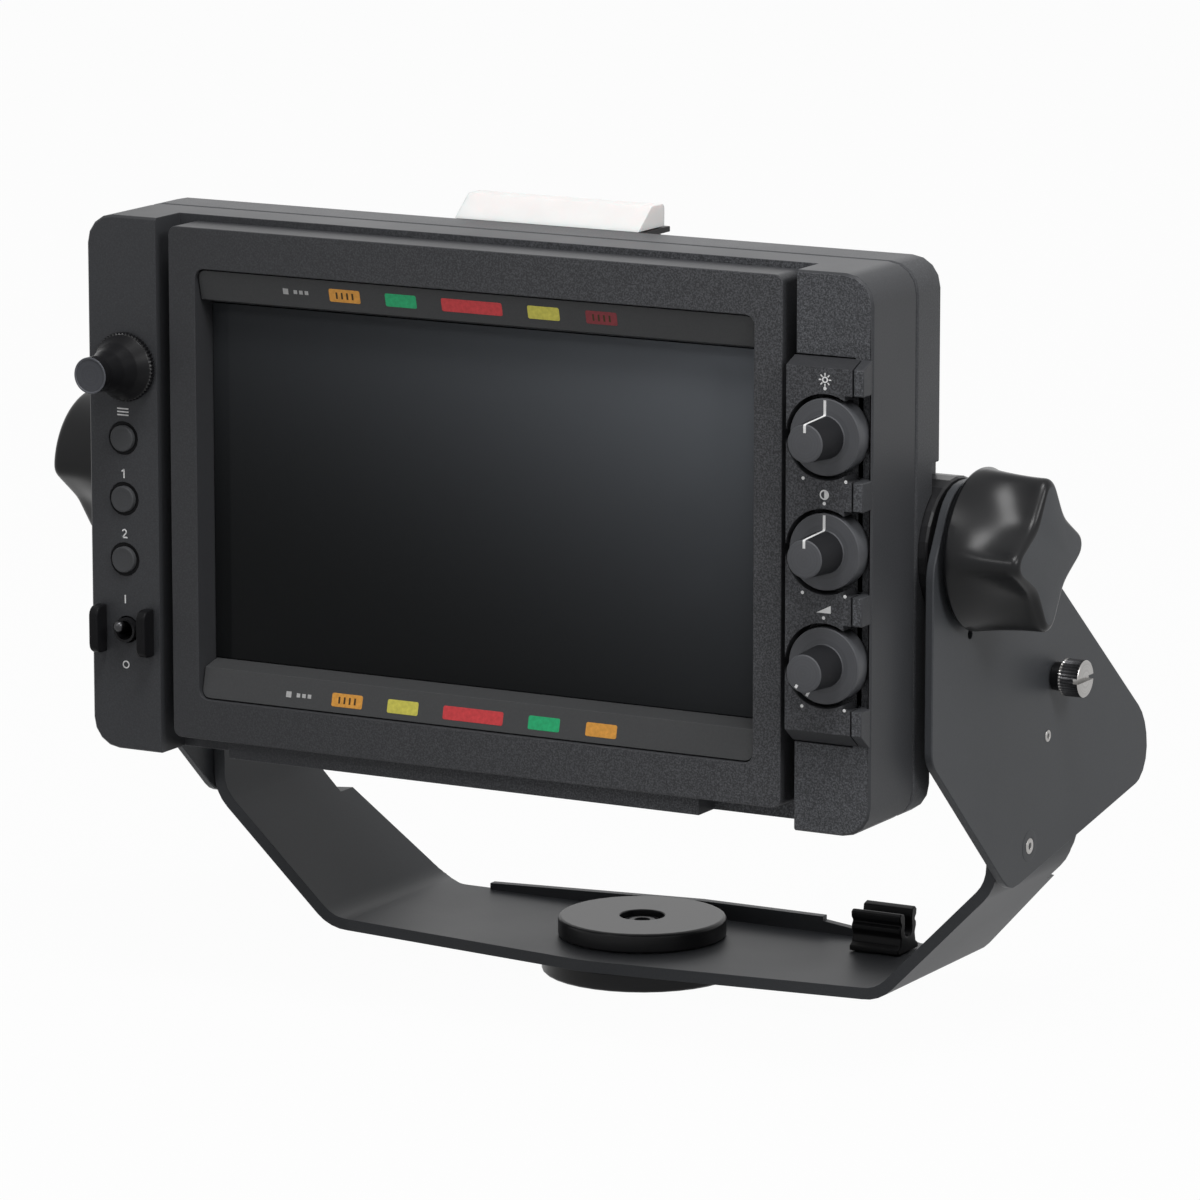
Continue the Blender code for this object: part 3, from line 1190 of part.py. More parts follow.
def make_electronics_housing():
    upper_front = COVER_BACK + TOUCH_GAP
    lower_front = COVER_LOWER_BACK + TOUCH_GAP
    step = COVER_STEP_HEIGHT - TOUCH_GAP
    corners = [
        (lower_front, HUMP_TOP),
        (lower_front, -HUMP_BOTTOM),
        (HUMP_BACK - HUMP_CHAMFER_DEPTH, -HUMP_BOTTOM),
        (HUMP_BACK, HUMP_CHAMFER_HEIGHT - HUMP_BOTTOM),
        (HUMP_BACK, HUMP_TOP - HUMP_CHAMFER_HEIGHT),
        (HUMP_BACK - HUMP_CHAMFER_DEPTH, HUMP_TOP),
    ]
    hump = soften(prism("electronics_housing", corners, 2 * HUMP_HALF_WIDTH), HUMP_EDGE)
    as_part(hump, "housing_plastic")
    place(hump, (0, 0, 0), SIDEWAYS, screen_centre)
    relief_width = 2 * (HUMP_HALF_WIDTH + CUT_OVERRUN)
    relief_height = 2 * (HUMP_TOP - step)
    relief = block("hump_relief", (relief_width, 2 * (upper_front - lower_front), relief_height))
    place(relief, (0, lower_front, HUMP_TOP), FLAT, screen_centre)
    cut(hump, relief)
    chamfer_share = HUMP_CHAMFER_DEPTH / HUMP_CHAMFER_HEIGHT
    cavity_back = HUMP_BACK - HUMP_WALL
    cavity_front = lower_front - CUT_OVERRUN
    flat_half = HUMP_CHAMFER_HEIGHT - HUMP_WALL
    cavity_corners = [
        (cavity_front, HUMP_TOP - HUMP_WALL),
        (cavity_front, HUMP_WALL - HUMP_BOTTOM),
        (cavity_back - flat_half * chamfer_share, HUMP_WALL - HUMP_BOTTOM),
        (cavity_back, HUMP_CHAMFER_HEIGHT - HUMP_BOTTOM),
        (cavity_back, HUMP_TOP - HUMP_CHAMFER_HEIGHT),
        (cavity_back - flat_half * chamfer_share, HUMP_TOP - HUMP_WALL),
    ]
    cavity = prism("hump_cavity", cavity_corners, 2 * (HUMP_HALF_WIDTH - HUMP_SIDE_WALL))
    place(cavity, (0, 0, 0), SIDEWAYS, screen_centre)
    cut(hump, cavity)
    for index in range(VENT_COUNT):
        vent = block(f"vent_{index}", (VENT_WIDTH, 2 * HUMP_WALL + CUT_OVERRUN, VENT_HEIGHT))
        across = VENT_PITCH * (index - (VENT_COUNT - 1) / 2)
        place(vent, (across, HUMP_BACK, (HUMP_TOP - HUMP_BOTTOM) / 2), FLAT, screen_centre)
        cut(hump, vent)
    socket_hole = rod("connector_hole", CONNECTOR_NECK_RADIUS + TOUCH_GAP, 2 * HUMP_WALL + CUT_OVERRUN)
    place(socket_hole, (CONNECTOR_RIGHT, CONNECTOR_BACK, -HUMP_BOTTOM), FLAT, screen_centre)
    cut(hump, socket_hole)


def make_tally_lamp():
    bottom = HUMP_TOP + TOUCH_GAP
    leg = block("lamp_leg", (2 * LAMP_LEG_HALF_WIDTH, LAMP_DEPTH - LAMP_BASE_MARGIN, LAMP_LEG_TOP - bottom))
    place(
        as_part(soften(leg, LAMP_EDGE), "housing_plastic"),
        (0, LAMP_FRONT + LAMP_DEPTH / 2, (LAMP_LEG_TOP + bottom) / 2),
        FLAT,
        screen_centre,
    )
    base_bottom = LAMP_LEG_TOP + TOUCH_GAP
    base_size = (2 * (LAMP_HALF_WIDTH + LAMP_BASE_MARGIN), LAMP_DEPTH, LAMP_BASE_HEIGHT)
    base = as_part(block("tally_lamp_base", base_size), "part_black")
    place(base, (0, LAMP_FRONT + LAMP_DEPTH / 2, base_bottom + LAMP_BASE_HEIGHT / 2), FLAT, screen_centre)
    lens_bottom = base_bottom + LAMP_BASE_HEIGHT + TOUCH_GAP
    lens_top = lens_bottom + LAMP_LENS_HEIGHT
    lens_back = LAMP_LENS_FRONT + LAMP_LENS_DEPTH
    corners = [
        (LAMP_LENS_FRONT, lens_bottom),
        (lens_back, lens_bottom),
        (lens_back, lens_top, LAMP_CROWN_RADIUS),
        (LAMP_LENS_FRONT + LAMP_LENS_LEAN, lens_top, LAMP_CROWN_RADIUS),
    ]
    lens = soften(prism("tally_lamp_lens", corners, 2 * LAMP_HALF_WIDTH), LAMP_EDGE, 2)
    place(as_part(lens, "lamp_white"), (0, 0, 0), SIDEWAYS, screen_centre)


def make_processor_board():
    back = HUMP_BACK - HUMP_WALL - PROCESSOR_CLEARANCE
    size = (2 * PROCESSOR_HALF_WIDTH, PROCESSOR_THICKNESS, 2 * PROCESSOR_HALF_HEIGHT)
    board = as_part(block("processor_board", size), "board_green")
    place(board, (0, back - PROCESSOR_THICKNESS / 2, (HUMP_TOP - HUMP_BOTTOM) / 2), FLAT, screen_centre)
    add_standoffs(board, size, PROCESSOR_CLEARANCE, 1)


def make_connector():
    top = HUMP_WALL
    inner = CONNECTOR_RADIUS - CONNECTOR_WALL
    floor = -TOUCH_GAP - CONNECTOR_WALL
    profile = [
        (0, top),
        (CONNECTOR_NECK_RADIUS, top),
        (CONNECTOR_NECK_RADIUS, -TOUCH_GAP),
        (CONNECTOR_FLANGE_RADIUS, -TOUCH_GAP),
        (CONNECTOR_FLANGE_RADIUS, -TOUCH_GAP - CONNECTOR_FLANGE_HEIGHT),
        (CONNECTOR_RADIUS, -TOUCH_GAP - CONNECTOR_FLANGE_HEIGHT),
        (CONNECTOR_RADIUS, -CONNECTOR_LENGTH),
        (inner, -CONNECTOR_LENGTH),
        (inner, floor),
        (0, floor),
    ]
    socket = as_part(turned("connector_socket", profile), "steel")
    place(socket, (CONNECTOR_RIGHT, CONNECTOR_BACK, -HUMP_BOTTOM), FLAT, screen_centre)
    length = CONNECTOR_LENGTH - CONNECTOR_INSERT_RECESS + floor - TOUCH_GAP
    insert = as_part(rod("connector_insert", inner - TOUCH_GAP, length), "part_black")
    place(
        insert,
        (CONNECTOR_RIGHT, CONNECTOR_BACK, floor - TOUCH_GAP - HUMP_BOTTOM - length / 2),
        FLAT,
        screen_centre,
    )


def make_knob_panel():
    corners = [
        (-PANEL_FRONT, PANEL_FACE_TOP),
        (0, PANEL_TOP),
        (PANEL_SEAT_DEPTH, PANEL_TOP),
        (PANEL_SEAT_DEPTH, -PANEL_BOTTOM),
        (0, -PANEL_BOTTOM),
        (-PANEL_FRONT, -PANEL_FACE_BOTTOM),
    ]
    panel = as_part(prism("knob_panel", corners, PANEL_RIGHT - PANEL_LEFT), "panel_plastic")
    place(panel, ((PANEL_RIGHT + PANEL_LEFT) / 2, 0, 0), SIDEWAYS, screen_centre)
    overhang = block("panel_overhang", (2 * (COLUMN_INNER - PANEL_LEFT), 2 * LIP_PLANE, 2 * BODY_TOP))
    place(overhang, (PANEL_LEFT, LIP_PLANE, 0), FLAT, screen_centre)
    cut(panel, overhang)
    for name, height in zip(KNOB_NAMES, knob_heights()):
        depth = PANEL_FRONT + CUT_OVERRUN + POCKET_FLOOR
        pocket = rod(f"{name}_pocket", POCKET_RADIUS, depth, LARGE_ROUND_STEPS)
        place(pocket, (KNOB_ACROSS, POCKET_FLOOR - depth / 2, height), FRONTWARD, screen_centre)
        cut(panel, pocket)
        notch = block(f"{name}_panel_notch", (POCKET_RADIUS, depth, 2 * POCKET_NOTCH_HALF_HEIGHT))
        place(
            notch,
            (KNOB_ACROSS + POCKET_RADIUS, POCKET_FLOOR - depth / 2, height),
            FLAT,
            screen_centre,
        )
        cut(panel, notch)
        hole_length = 2 * PANEL_SEAT_DEPTH + CUT_OVERRUN
        shaft_hole = rod(f"{name}_shaft_hole", POT_BUSHING_RADIUS + TOUCH_GAP, hole_length)
        place(shaft_hole, (KNOB_ACROSS, PANEL_SEAT_DEPTH, height), FRONTWARD, screen_centre)
        cut(panel, shaft_hole)


# Control knobs: a flange in its pocket, a tapered stem and a blind bore for the shaft.
def make_control_knobs():
    bore = POT_SHAFT_RADIUS + TOUCH_GAP
    bore_front = POT_SHAFT_FRONT + TOUCH_GAP
    back = -(POCKET_FLOOR - RUNNING_GAP)
    profile = [
        (0, STEM_FRONT),
        (STEM_RADIUS - STEM_EDGE, STEM_FRONT),
        (STEM_RADIUS, STEM_FRONT - STEM_EDGE),
        (STEM_BASE_RADIUS, PANEL_FRONT),
        (FLANGE_RADIUS - FLANGE_EDGE, PANEL_FRONT),
        (FLANGE_RADIUS, PANEL_FRONT - FLANGE_EDGE),
        (FLANGE_RADIUS, back),
        (bore, back),
        (bore, bore_front),
        (0, bore_front),
    ]
    for name, height in zip(KNOB_NAMES, knob_heights()):
        axis = add_empty(f"{name}_axis", (KNOB_ACROSS, 0, height), screen_centre)
        knob = as_part(turned(name, profile, LARGE_ROUND_STEPS), "knob_plastic")
        place(knob, (0, 0, 0), FRONTWARD, axis)


def pot_profile(shaft_front, seat):
    bushing_front = -(POCKET_FLOOR + RUNNING_GAP)
    return [
        (0, shaft_front),
        (POT_SHAFT_RADIUS, shaft_front),
        (POT_SHAFT_RADIUS, bushing_front),
        (POT_BUSHING_RADIUS, bushing_front),
        (POT_BUSHING_RADIUS, -seat),
        (POT_BODY_RADIUS, -seat),
        (POT_BODY_RADIUS, -seat - POT_BODY_LENGTH),
        (0, -seat - POT_BODY_LENGTH),
    ]


def make_potentiometers():
    for name, height in zip(KNOB_NAMES, knob_heights()):
        profile = pot_profile(POT_SHAFT_FRONT, POT_SEAT_BACK + TOUCH_GAP)
        pot = as_part(turned(f"{name}_potentiometer", profile, SMALL_ROUND_STEPS), "steel")
        place(pot, (KNOB_ACROSS, 0, height), FRONTWARD, screen_centre)


def make_menu_dial():
    bore = POT_SHAFT_RADIUS + TOUCH_GAP
    bore_front = ENCODER_SHAFT_FRONT + TOUCH_GAP
    rim_front = RUNNING_GAP + DIAL_RIM_LENGTH
    cap_back = DIAL_FRONT - DIAL_CAP_LENGTH
    profile = [
        (0, DIAL_FRONT),
        (DIAL_CAP_RADIUS - DIAL_EDGE, DIAL_FRONT),
        (DIAL_CAP_RADIUS, DIAL_FRONT - DIAL_EDGE),
        (DIAL_CAP_RADIUS, cap_back),
        (DIAL_NECK_RADIUS, cap_back - DIAL_EDGE),
        (DIAL_WAIST_RADIUS, DIAL_WAIST_FRONT),
        (DIAL_SHOULDER_RADIUS, DIAL_SHOULDER_FRONT),
        (DIAL_RIM_RADIUS - DIAL_EDGE, rim_front),
        (DIAL_RIM_RADIUS, rim_front - DIAL_EDGE),
        (DIAL_RIM_RADIUS, RUNNING_GAP),
        (bore, RUNNING_GAP),
        (bore, bore_front),
        (0, bore_front),
    ]
    axis = add_empty("menu_dial_axis", (-DIAL_ACROSS, 0, DIAL_HEIGHT), screen_centre)
    dial = as_part(turned("menu_dial", profile, 2 * DIAL_GRIP_COUNT), "knob_plastic")
    for vertex in dial.data.vertices:
        radius = math.hypot(vertex.co.x, vertex.co.y)
        spoke = round(math.atan2(vertex.co.y, vertex.co.x) * DIAL_GRIP_COUNT / math.pi)
        if spoke % 2 and radius > DIAL_SHOULDER_RADIUS:
            share = 1 - DIAL_GRIP_DEPTH / radius
            vertex.co.x *= share
            vertex.co.y *= share
    place(dial, (0, 0, 0), FRONTWARD, axis)
    profile = [
        (0, ENCODER_SHAFT_FRONT),
        (POT_SHAFT_RADIUS, ENCODER_SHAFT_FRONT),
        (POT_SHAFT_RADIUS, -TOUCH_GAP),
        (POT_BUSHING_RADIUS, -TOUCH_GAP),
        (POT_BUSHING_RADIUS, -HOUSING_WALL - TOUCH_GAP),
        (ENCODER_BODY_RADIUS, -HOUSING_WALL - TOUCH_GAP),
        (ENCODER_BODY_RADIUS, -HOUSING_WALL - TOUCH_GAP - POT_BODY_LENGTH),
        (0, -HOUSING_WALL - TOUCH_GAP - POT_BODY_LENGTH),
    ]
    encoder = as_part(turned("dial_encoder", profile, SMALL_ROUND_STEPS), "steel")
    place(encoder, (-DIAL_ACROSS, 0, DIAL_HEIGHT), FRONTWARD, screen_centre)


# Each button is held by a flange behind the wall and pushes a switch on the button board.
def make_buttons():
    flange_front = -(HOUSING_WALL + TOUCH_GAP)
    flange_back = flange_front - BUTTON_FLANGE_LENGTH
    stem_back = flange_back - BUTTON_STEM_LENGTH
    profile = [
        (0, BUTTON_PROUD),
        (BUTTON_RADIUS - BUTTON_EDGE, BUTTON_PROUD),
        (BUTTON_RADIUS, BUTTON_PROUD - BUTTON_EDGE),
        (BUTTON_RADIUS, flange_front),
        (BUTTON_FLANGE_RADIUS, flange_front),
        (BUTTON_FLANGE_RADIUS, flange_back),
        (BUTTON_STEM_RADIUS, flange_back),
        (BUTTON_STEM_RADIUS, stem_back),
        (0, stem_back),
    ]
    switch_front = BUTTON_TRAVEL + TOUCH_GAP - stem_back
    board_front = switch_front + SWITCH_HEIGHT + TOUCH_GAP
    for name, height in zip(BUTTON_NAMES, button_heights()):
        axis = add_empty(f"{name}_axis", (-BUTTON_ACROSS, 0, height), screen_centre)
        button = as_part(turned(name, profile), "knob_plastic")
        place(button, (0, 0, 0), FRONTWARD, axis)
        switch = as_part(block(f"{name}_switch", (SWITCH_SIDE, SWITCH_HEIGHT, SWITCH_SIDE)), "part_black")
        place(switch, (-BUTTON_ACROSS, switch_front + SWITCH_HEIGHT / 2, height), FLAT, screen_centre)
    heights = button_heights()
    length = heights[0] - heights[-1] + 2 * BUTTON_BOARD_MARGIN
    width = BODY_HALF_WIDTH - COLUMN_INNER - 2 * (HOUSING_WALL + TOUCH_GAP)
    board = as_part(block("button_board", (width, BUTTON_BOARD_THICKNESS, length)), "board_green")
    across = (BODY_HALF_WIDTH + COLUMN_INNER) / 2
    middle = (heights[0] + heights[-1]) / 2
    place(board, (-across, board_front + BUTTON_BOARD_THICKNESS / 2, middle), FLAT, screen_centre)


def make_power_switch():
    seat = HOUSING_WALL + TOUCH_GAP
    inner = TOGGLE_BUSHING_RADIUS - TOGGLE_BUSHING_WALL
    body_back = seat + TOGGLE_BODY_DEPTH
    body_size = (2 * TOGGLE_BODY_HALF_WIDTH, TOGGLE_BODY_DEPTH, 2 * TOGGLE_BODY_HALF_HEIGHT)
    body = block("power_switch_body", body_size)
    place(
        as_part(body, "part_black"),
        (-TOGGLE_ACROSS, seat + TOGGLE_BODY_DEPTH / 2, -TOGGLE_DROP),
        FLAT,
        screen_centre,
    )
    sleeve_length = TOGGLE_BUSHING_PROUD + seat
    sleeve = rod("toggle_sleeve", TOGGLE_BUSHING_RADIUS, sleeve_length + CUT_OVERRUN)
    place(
        sleeve,
        (-TOGGLE_ACROSS, (sleeve_length + CUT_OVERRUN) / 2 - TOGGLE_BUSHING_PROUD, -TOGGLE_DROP),
        FRONTWARD,
        screen_centre,
    )
    join(body, sleeve)
    well_length = body_back - HOUSING_WALL + TOGGLE_BUSHING_PROUD
    well = rod("toggle_well", inner, 2 * well_length)
    place(well, (-TOGGLE_ACROSS, -TOGGLE_BUSHING_PROUD, -TOGGLE_DROP), FRONTWARD, screen_centre)
    cut(body, well)
    tip_centre = TOGGLE_LENGTH - TOGGLE_TIP_RADIUS
    profile = [(0, TOGGLE_LENGTH)]
    for step in range(1, TOGGLE_ROUND_STEPS + 1):
        angle = step / TOGGLE_ROUND_STEPS * math.pi / 2
        height = tip_centre + TOGGLE_TIP_RADIUS * math.cos(angle)
        profile.append((TOGGLE_TIP_RADIUS * math.sin(angle), height))
    ball_start = math.asin(TOGGLE_NECK_RADIUS / TOGGLE_BALL_RADIUS)
    for step in range(TOGGLE_ROUND_STEPS):
        angle = ball_start + step / TOGGLE_ROUND_STEPS * (math.pi - ball_start)
        profile.append((TOGGLE_BALL_RADIUS * math.sin(angle), TOGGLE_BALL_RADIUS * math.cos(angle)))
    profile.append((0, -TOGGLE_BALL_RADIUS))
    axis = add_empty("power_toggle_axis", (-TOGGLE_ACROSS, TOGGLE_PIVOT_BACK, -TOGGLE_DROP), screen_centre)
    lever = as_part(turned("power_toggle", profile, SMALL_ROUND_STEPS), "steel")
    place(lever, (0, 0, 0), (FRONTWARD[0] - TOGGLE_TILT, 0, 0), axis)


make_base_disc()
make_swivel_washer()
make_swivel_cap()
make_pivot_screw()
make_bracket()
make_cable_clamp()
make_side_plate("right_side_plate", 1)
make_side_plate("left_side_plate", -1)
make_thumbscrew()
make_tilt_washer("right_tilt_washer", TO_RIGHT)
make_tilt_washer("left_tilt_washer", TO_LEFT)
make_boss("right_pivot_boss", TO_RIGHT)
make_boss("left_pivot_boss", TO_LEFT)
make_tilt_knob("right", 1, TO_RIGHT, RIGHT_KNOB_SCALLOPS)
make_tilt_knob("left", -1, TO_LEFT, LEFT_KNOB_SCALLOPS)
make_front_housing()
make_toggle_guards()
make_rear_cover()
make_bezel()
make_glass()
make_light_strip("upper_light_strip", 1)
make_light_strip("lower_light_strip", -1)
make_screen_stack()
make_electronics_housing()
make_tally_lamp()
make_processor_board()
make_connector()
make_knob_panel()
make_control_knobs()
make_potentiometers()
make_menu_dial()
make_buttons()
make_power_switch()
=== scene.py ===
import json
import math
import bmesh
import bpy
from mathutils import Euler, Matrix, Vector

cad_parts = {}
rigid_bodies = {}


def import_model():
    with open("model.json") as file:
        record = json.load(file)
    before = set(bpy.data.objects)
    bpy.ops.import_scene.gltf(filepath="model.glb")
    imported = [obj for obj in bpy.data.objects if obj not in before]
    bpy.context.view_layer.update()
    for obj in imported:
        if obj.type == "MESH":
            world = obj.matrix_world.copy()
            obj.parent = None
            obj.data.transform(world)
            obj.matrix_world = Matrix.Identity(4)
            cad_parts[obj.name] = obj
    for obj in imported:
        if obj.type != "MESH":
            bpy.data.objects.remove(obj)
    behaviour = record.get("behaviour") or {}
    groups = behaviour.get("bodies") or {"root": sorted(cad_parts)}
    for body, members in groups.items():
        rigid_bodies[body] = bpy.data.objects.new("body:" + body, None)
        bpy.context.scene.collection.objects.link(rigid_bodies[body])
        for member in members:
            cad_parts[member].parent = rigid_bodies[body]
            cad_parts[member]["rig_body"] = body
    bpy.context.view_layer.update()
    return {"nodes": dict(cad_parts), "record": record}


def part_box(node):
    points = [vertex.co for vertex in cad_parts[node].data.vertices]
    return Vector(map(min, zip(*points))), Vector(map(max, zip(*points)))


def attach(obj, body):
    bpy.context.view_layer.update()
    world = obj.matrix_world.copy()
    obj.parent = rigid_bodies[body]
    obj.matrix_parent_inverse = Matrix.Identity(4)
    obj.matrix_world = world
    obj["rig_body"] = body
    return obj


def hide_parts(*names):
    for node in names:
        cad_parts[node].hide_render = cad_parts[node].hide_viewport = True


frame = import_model()
print("frame loaded:", len(frame["nodes"]), "nodes")

cadNodes = frame["nodes"]
slotOfNode = {part["node"]: part["material_slot"] for part in frame["record"]["subparts"]}
mm = 0.001
hair = 0.01 * mm  # slack where heights and radii are compared
flatAngle = math.radians(0.6)  # faces that turn less than this are one flat face


# node helpers


def addNode(tree, kind, place=(0, 0), **values):
    node = tree.nodes.new(kind)
    node.location = place
    for name, value in values.items():
        if name in node.inputs.keys():
            node.inputs[name].default_value = value
        else:
            setattr(node, name, value)
    return node


def addMapRange(tree, place, given=(0.0, 1.0), made=(0.0, 1.0)):
    node = addNode(tree, "ShaderNodeMapRange", place)
    for end, value in zip(("From Min", "From Max", "To Min", "To Max"), (*given, *made)):
        node.inputs[end].default_value = value
    return node


def link(tree, *pairs):
    for start, end in pairs:
        tree.links.new(start, end)


def newGroup(name, inputs, outputs):
    group = bpy.data.node_groups.new(name, "ShaderNodeTree")
    for label, value in inputs.items():
        socket = group.interface.new_socket(name=label, in_out="INPUT", socket_type="NodeSocketFloat")
        socket.default_value = value
    for label in outputs:
        group.interface.new_socket(name=label, in_out="OUTPUT", socket_type="NodeSocketFloat")
    source = addNode(group, "NodeGroupInput", (-900, 0))
    result = addNode(group, "NodeGroupOutput", (700, 0))
    return group, source, result


def useGroup(tree, group, place, **values):
    node = tree.nodes.new("ShaderNodeGroup")
    node.node_tree = group
    node.location = place
    for name, value in values.items():
        node.inputs[name].default_value = value
    return node


# moulded grain: small rounded pebbles, and a mask of the finest ones, on which glints are painted as lighter
# colour for the light they catch
pebbleGrain = {"smoothness": 0.6, "detail": 3.0, "roughness": 0.65, "paintedGlint": (0.42, 0.68)}


def makePebbleGroup(look):
    group, source, result = newGroup("mouldedPebble", {"Size": 1500.0, "Roughen": 0.5}, ["Height", "PaintedGlint"])
    where = addNode(group, "ShaderNodeTexCoord", (-900, -200))
    pebbles = addNode(
        group, "ShaderNodeTexVoronoi", (-650, 150), feature="SMOOTH_F1", Smoothness=look["smoothness"]
    )
    fine = addNode(
        group, "ShaderNodeTexNoise", (-650, -150), Detail=look["detail"], Roughness=look["roughness"]
    )
    height = addNode(group, "ShaderNodeMix", (-350, 50), data_type="FLOAT")
    paintedGlint = addMapRange(group, (-350, -250), given=look["paintedGlint"])
    link(
        group,
        (where.outputs["Object"], pebbles.inputs["Vector"]),
        (where.outputs["Object"], fine.inputs["Vector"]),
        (source.outputs["Size"], pebbles.inputs["Scale"]),
        (source.outputs["Size"], fine.inputs["Scale"]),
        (source.outputs["Roughen"], height.inputs[0]),
        (pebbles.outputs["Distance"], height.inputs[2]),
        (fine.outputs["Fac"], height.inputs[3]),
        (fine.outputs["Fac"], paintedGlint.inputs["Value"]),
        (height.outputs[0], result.inputs["Height"]),
        (paintedGlint.outputs["Result"], result.inputs["PaintedGlint"]),
    )
    return group


# broad uneven sheen, as handling and moulding leave it
sheenCloud = {"detail": 4.0, "roughness": 0.55, "span": (0.3, 0.7)}


def makeHandlingGroup(look):
    group, source, result = newGroup("handlingSheen", {"Size": 30.0, "Low": 0.0, "High": 1.0}, ["Value"])
    where = addNode(group, "ShaderNodeTexCoord", (-900, -200))
    cloud = addNode(
        group, "ShaderNodeTexNoise", (-600, 0), Detail=look["detail"], Roughness=look["roughness"]
    )
    span = addMapRange(group, (-300, 0), given=look["span"])
    link(
        group,
        (where.outputs["Object"], cloud.inputs["Vector"]),
        (source.outputs["Size"], cloud.inputs["Scale"]),
        (cloud.outputs["Fac"], span.inputs["Value"]),
        (source.outputs["Low"], span.inputs["To Min"]),
        (source.outputs["High"], span.inputs["To Max"]),
        (span.outputs["Result"], result.inputs["Value"]),
    )
    return group


# rings left by turning, round local Z of the piece
def makeTurnedGroup():
    group, source, result = newGroup("turnedRings", {"Rings": 2500.0, "Uneven": 0.4}, ["Height"])
    where = addNode(group, "ShaderNodeTexCoord", (-1100, -200))
    split = addNode(group, "ShaderNodeSeparateXYZ", (-900, -200))
    flat = addNode(group, "ShaderNodeCombineXYZ", (-720, -200))
    radius = addNode(group, "ShaderNodeVectorMath", (-540, -200), operation="LENGTH")
    line = addNode(group, "ShaderNodeCombineXYZ", (-360, -200))
    rings = addNode(group, "ShaderNodeTexNoise", (-160, -100), noise_dimensions="3D", Detail=2.0)
    link(
        group,
        (where.outputs["Object"], split.inputs["Vector"]),
        (split.outputs["X"], flat.inputs["X"]),
        (split.outputs["Y"], flat.inputs["Y"]),
        (flat.outputs["Vector"], radius.inputs[0]),
        (radius.outputs["Value"], line.inputs["X"]),
        (split.outputs["Z"], line.inputs["Y"]),
        (line.outputs["Vector"], rings.inputs["Vector"]),
        (source.outputs["Rings"], rings.inputs["Scale"]),
        (source.outputs["Uneven"], rings.inputs["Roughness"]),
        (rings.outputs["Fac"], result.inputs["Height"]),
    )
    return group


mouldedPebble = makePebbleGroup(pebbleGrain)
handlingSheen = makeHandlingGroup(sheenCloud)
turnedRings = makeTurnedGroup()


def newMaterial(name, look):
    material = bpy.data.materials.new(name)
    material.use_nodes = True
    tree = material.node_tree
    shader = tree.nodes["Principled BSDF"]
    shader.inputs["Base Color"].default_value = (*look["colour"], 1.0)
    shader.inputs["Roughness"].default_value = look["roughness"]
    shader.inputs["Metallic"].default_value = look.get("metallic", 0.0)
    shader.inputs["Specular IOR Level"].default_value = look["specular"]
    material.diffuse_color = (*look["colour"], 1.0)
    return material, tree, shader


def mixColours(tree, factor, dark, light, place=(-300, 200)):
    node = addNode(tree, "ShaderNodeMix", place, data_type="RGBA")
    node.inputs[6].default_value = (*dark, 1.0)
    node.inputs[7].default_value = (*light, 1.0)
    tree.links.new(factor, node.inputs[0])
    return node.outputs[2]


def brighter(colour, times):
    return [min(1.0, channel * times) for channel in colour]


def bumpShader(tree, shader, height, strength, depth):
    bump = addNode(tree, "ShaderNodeBump", (-300, -150), Strength=strength, Distance=depth)
    link(tree, (height, bump.inputs["Height"]), (bump.outputs["Normal"], shader.inputs["Normal"]))


# how much grain and painted glint a spot has: less to the left, as painted shade where the light is weaker,
# and another share on faces that don't look forward
forwardFaces = (-0.80, -0.97)  # Y of the normal: grain grows from the first to the second


def grainAndGlintShare(tree, look):
    where = addNode(tree, "ShaderNodeTexCoord", (-1500, -500))
    split = addNode(tree, "ShaderNodeSeparateXYZ", (-1300, -450))
    across = addMapRange(tree, (-1100, -450), given=look["shadedSide"], made=(look["shadedShare"], 1.0))
    facing = addNode(tree, "ShaderNodeSeparateXYZ", (-1300, -750))
    forward = addMapRange(tree, (-1100, -750), given=forwardFaces, made=(look["sides"], 1.0))
    both = addNode(tree, "ShaderNodeMath", (-900, -600), operation="MULTIPLY")
    link(
        tree,
        (where.outputs["Object"], split.inputs["Vector"]),
        (where.outputs["Normal"], facing.inputs["Vector"]),
        (split.outputs["X"], across.inputs["Value"]),
        (facing.outputs["Y"], forward.inputs["Value"]),
        (across.outputs["Result"], both.inputs[0]),
        (forward.outputs["Result"], both.inputs[1]),
    )
    return both.outputs[0]


# moulded plastic and paint: pebble bump, painted glints (lighter colour on the finest pebbles) and a slightly
# uneven sheen
def makePlastic(name, look):
    material, tree, shader = newMaterial(name, look)
    pebble = useGroup(tree, mouldedPebble, (-900, -100), Size=look["grainSize"], Roughen=look["roughen"])
    low, high = look["roughness"] - look["sheen"], look["roughness"] + look["sheen"]
    sheen = useGroup(tree, handlingSheen, (-700, -350), Size=look["sheenSize"], Low=low, High=high)
    paintedGlint, height = pebble.outputs["PaintedGlint"], pebble.outputs["Height"]
    # where a look has a shaded side, the grain and its painted glints fade there as painted shade
    if "shadedSide" in look:
        share = grainAndGlintShare(tree, look)
        fade = addNode(tree, "ShaderNodeMath", (-600, -50), operation="MULTIPLY")
        lower = addNode(tree, "ShaderNodeMath", (-600, -200), operation="MULTIPLY")
        for node, value in ((fade, paintedGlint), (lower, height)):
            link(tree, (value, node.inputs[0]), (share, node.inputs[1]))
        paintedGlint, height = fade.outputs[0], lower.outputs[0]
    # painted glints: the colour is made lighter where the glint mask is high
    mixed = mixColours(tree, paintedGlint, look["colour"], brighter(look["colour"], look["paintedGlintGain"]))
    link(tree, (mixed, shader.inputs["Base Color"]), (sheen.outputs["Value"], shader.inputs["Roughness"]))
    bumpShader(tree, shader, height, look["bump"], look["bumpDepth"])
    return material


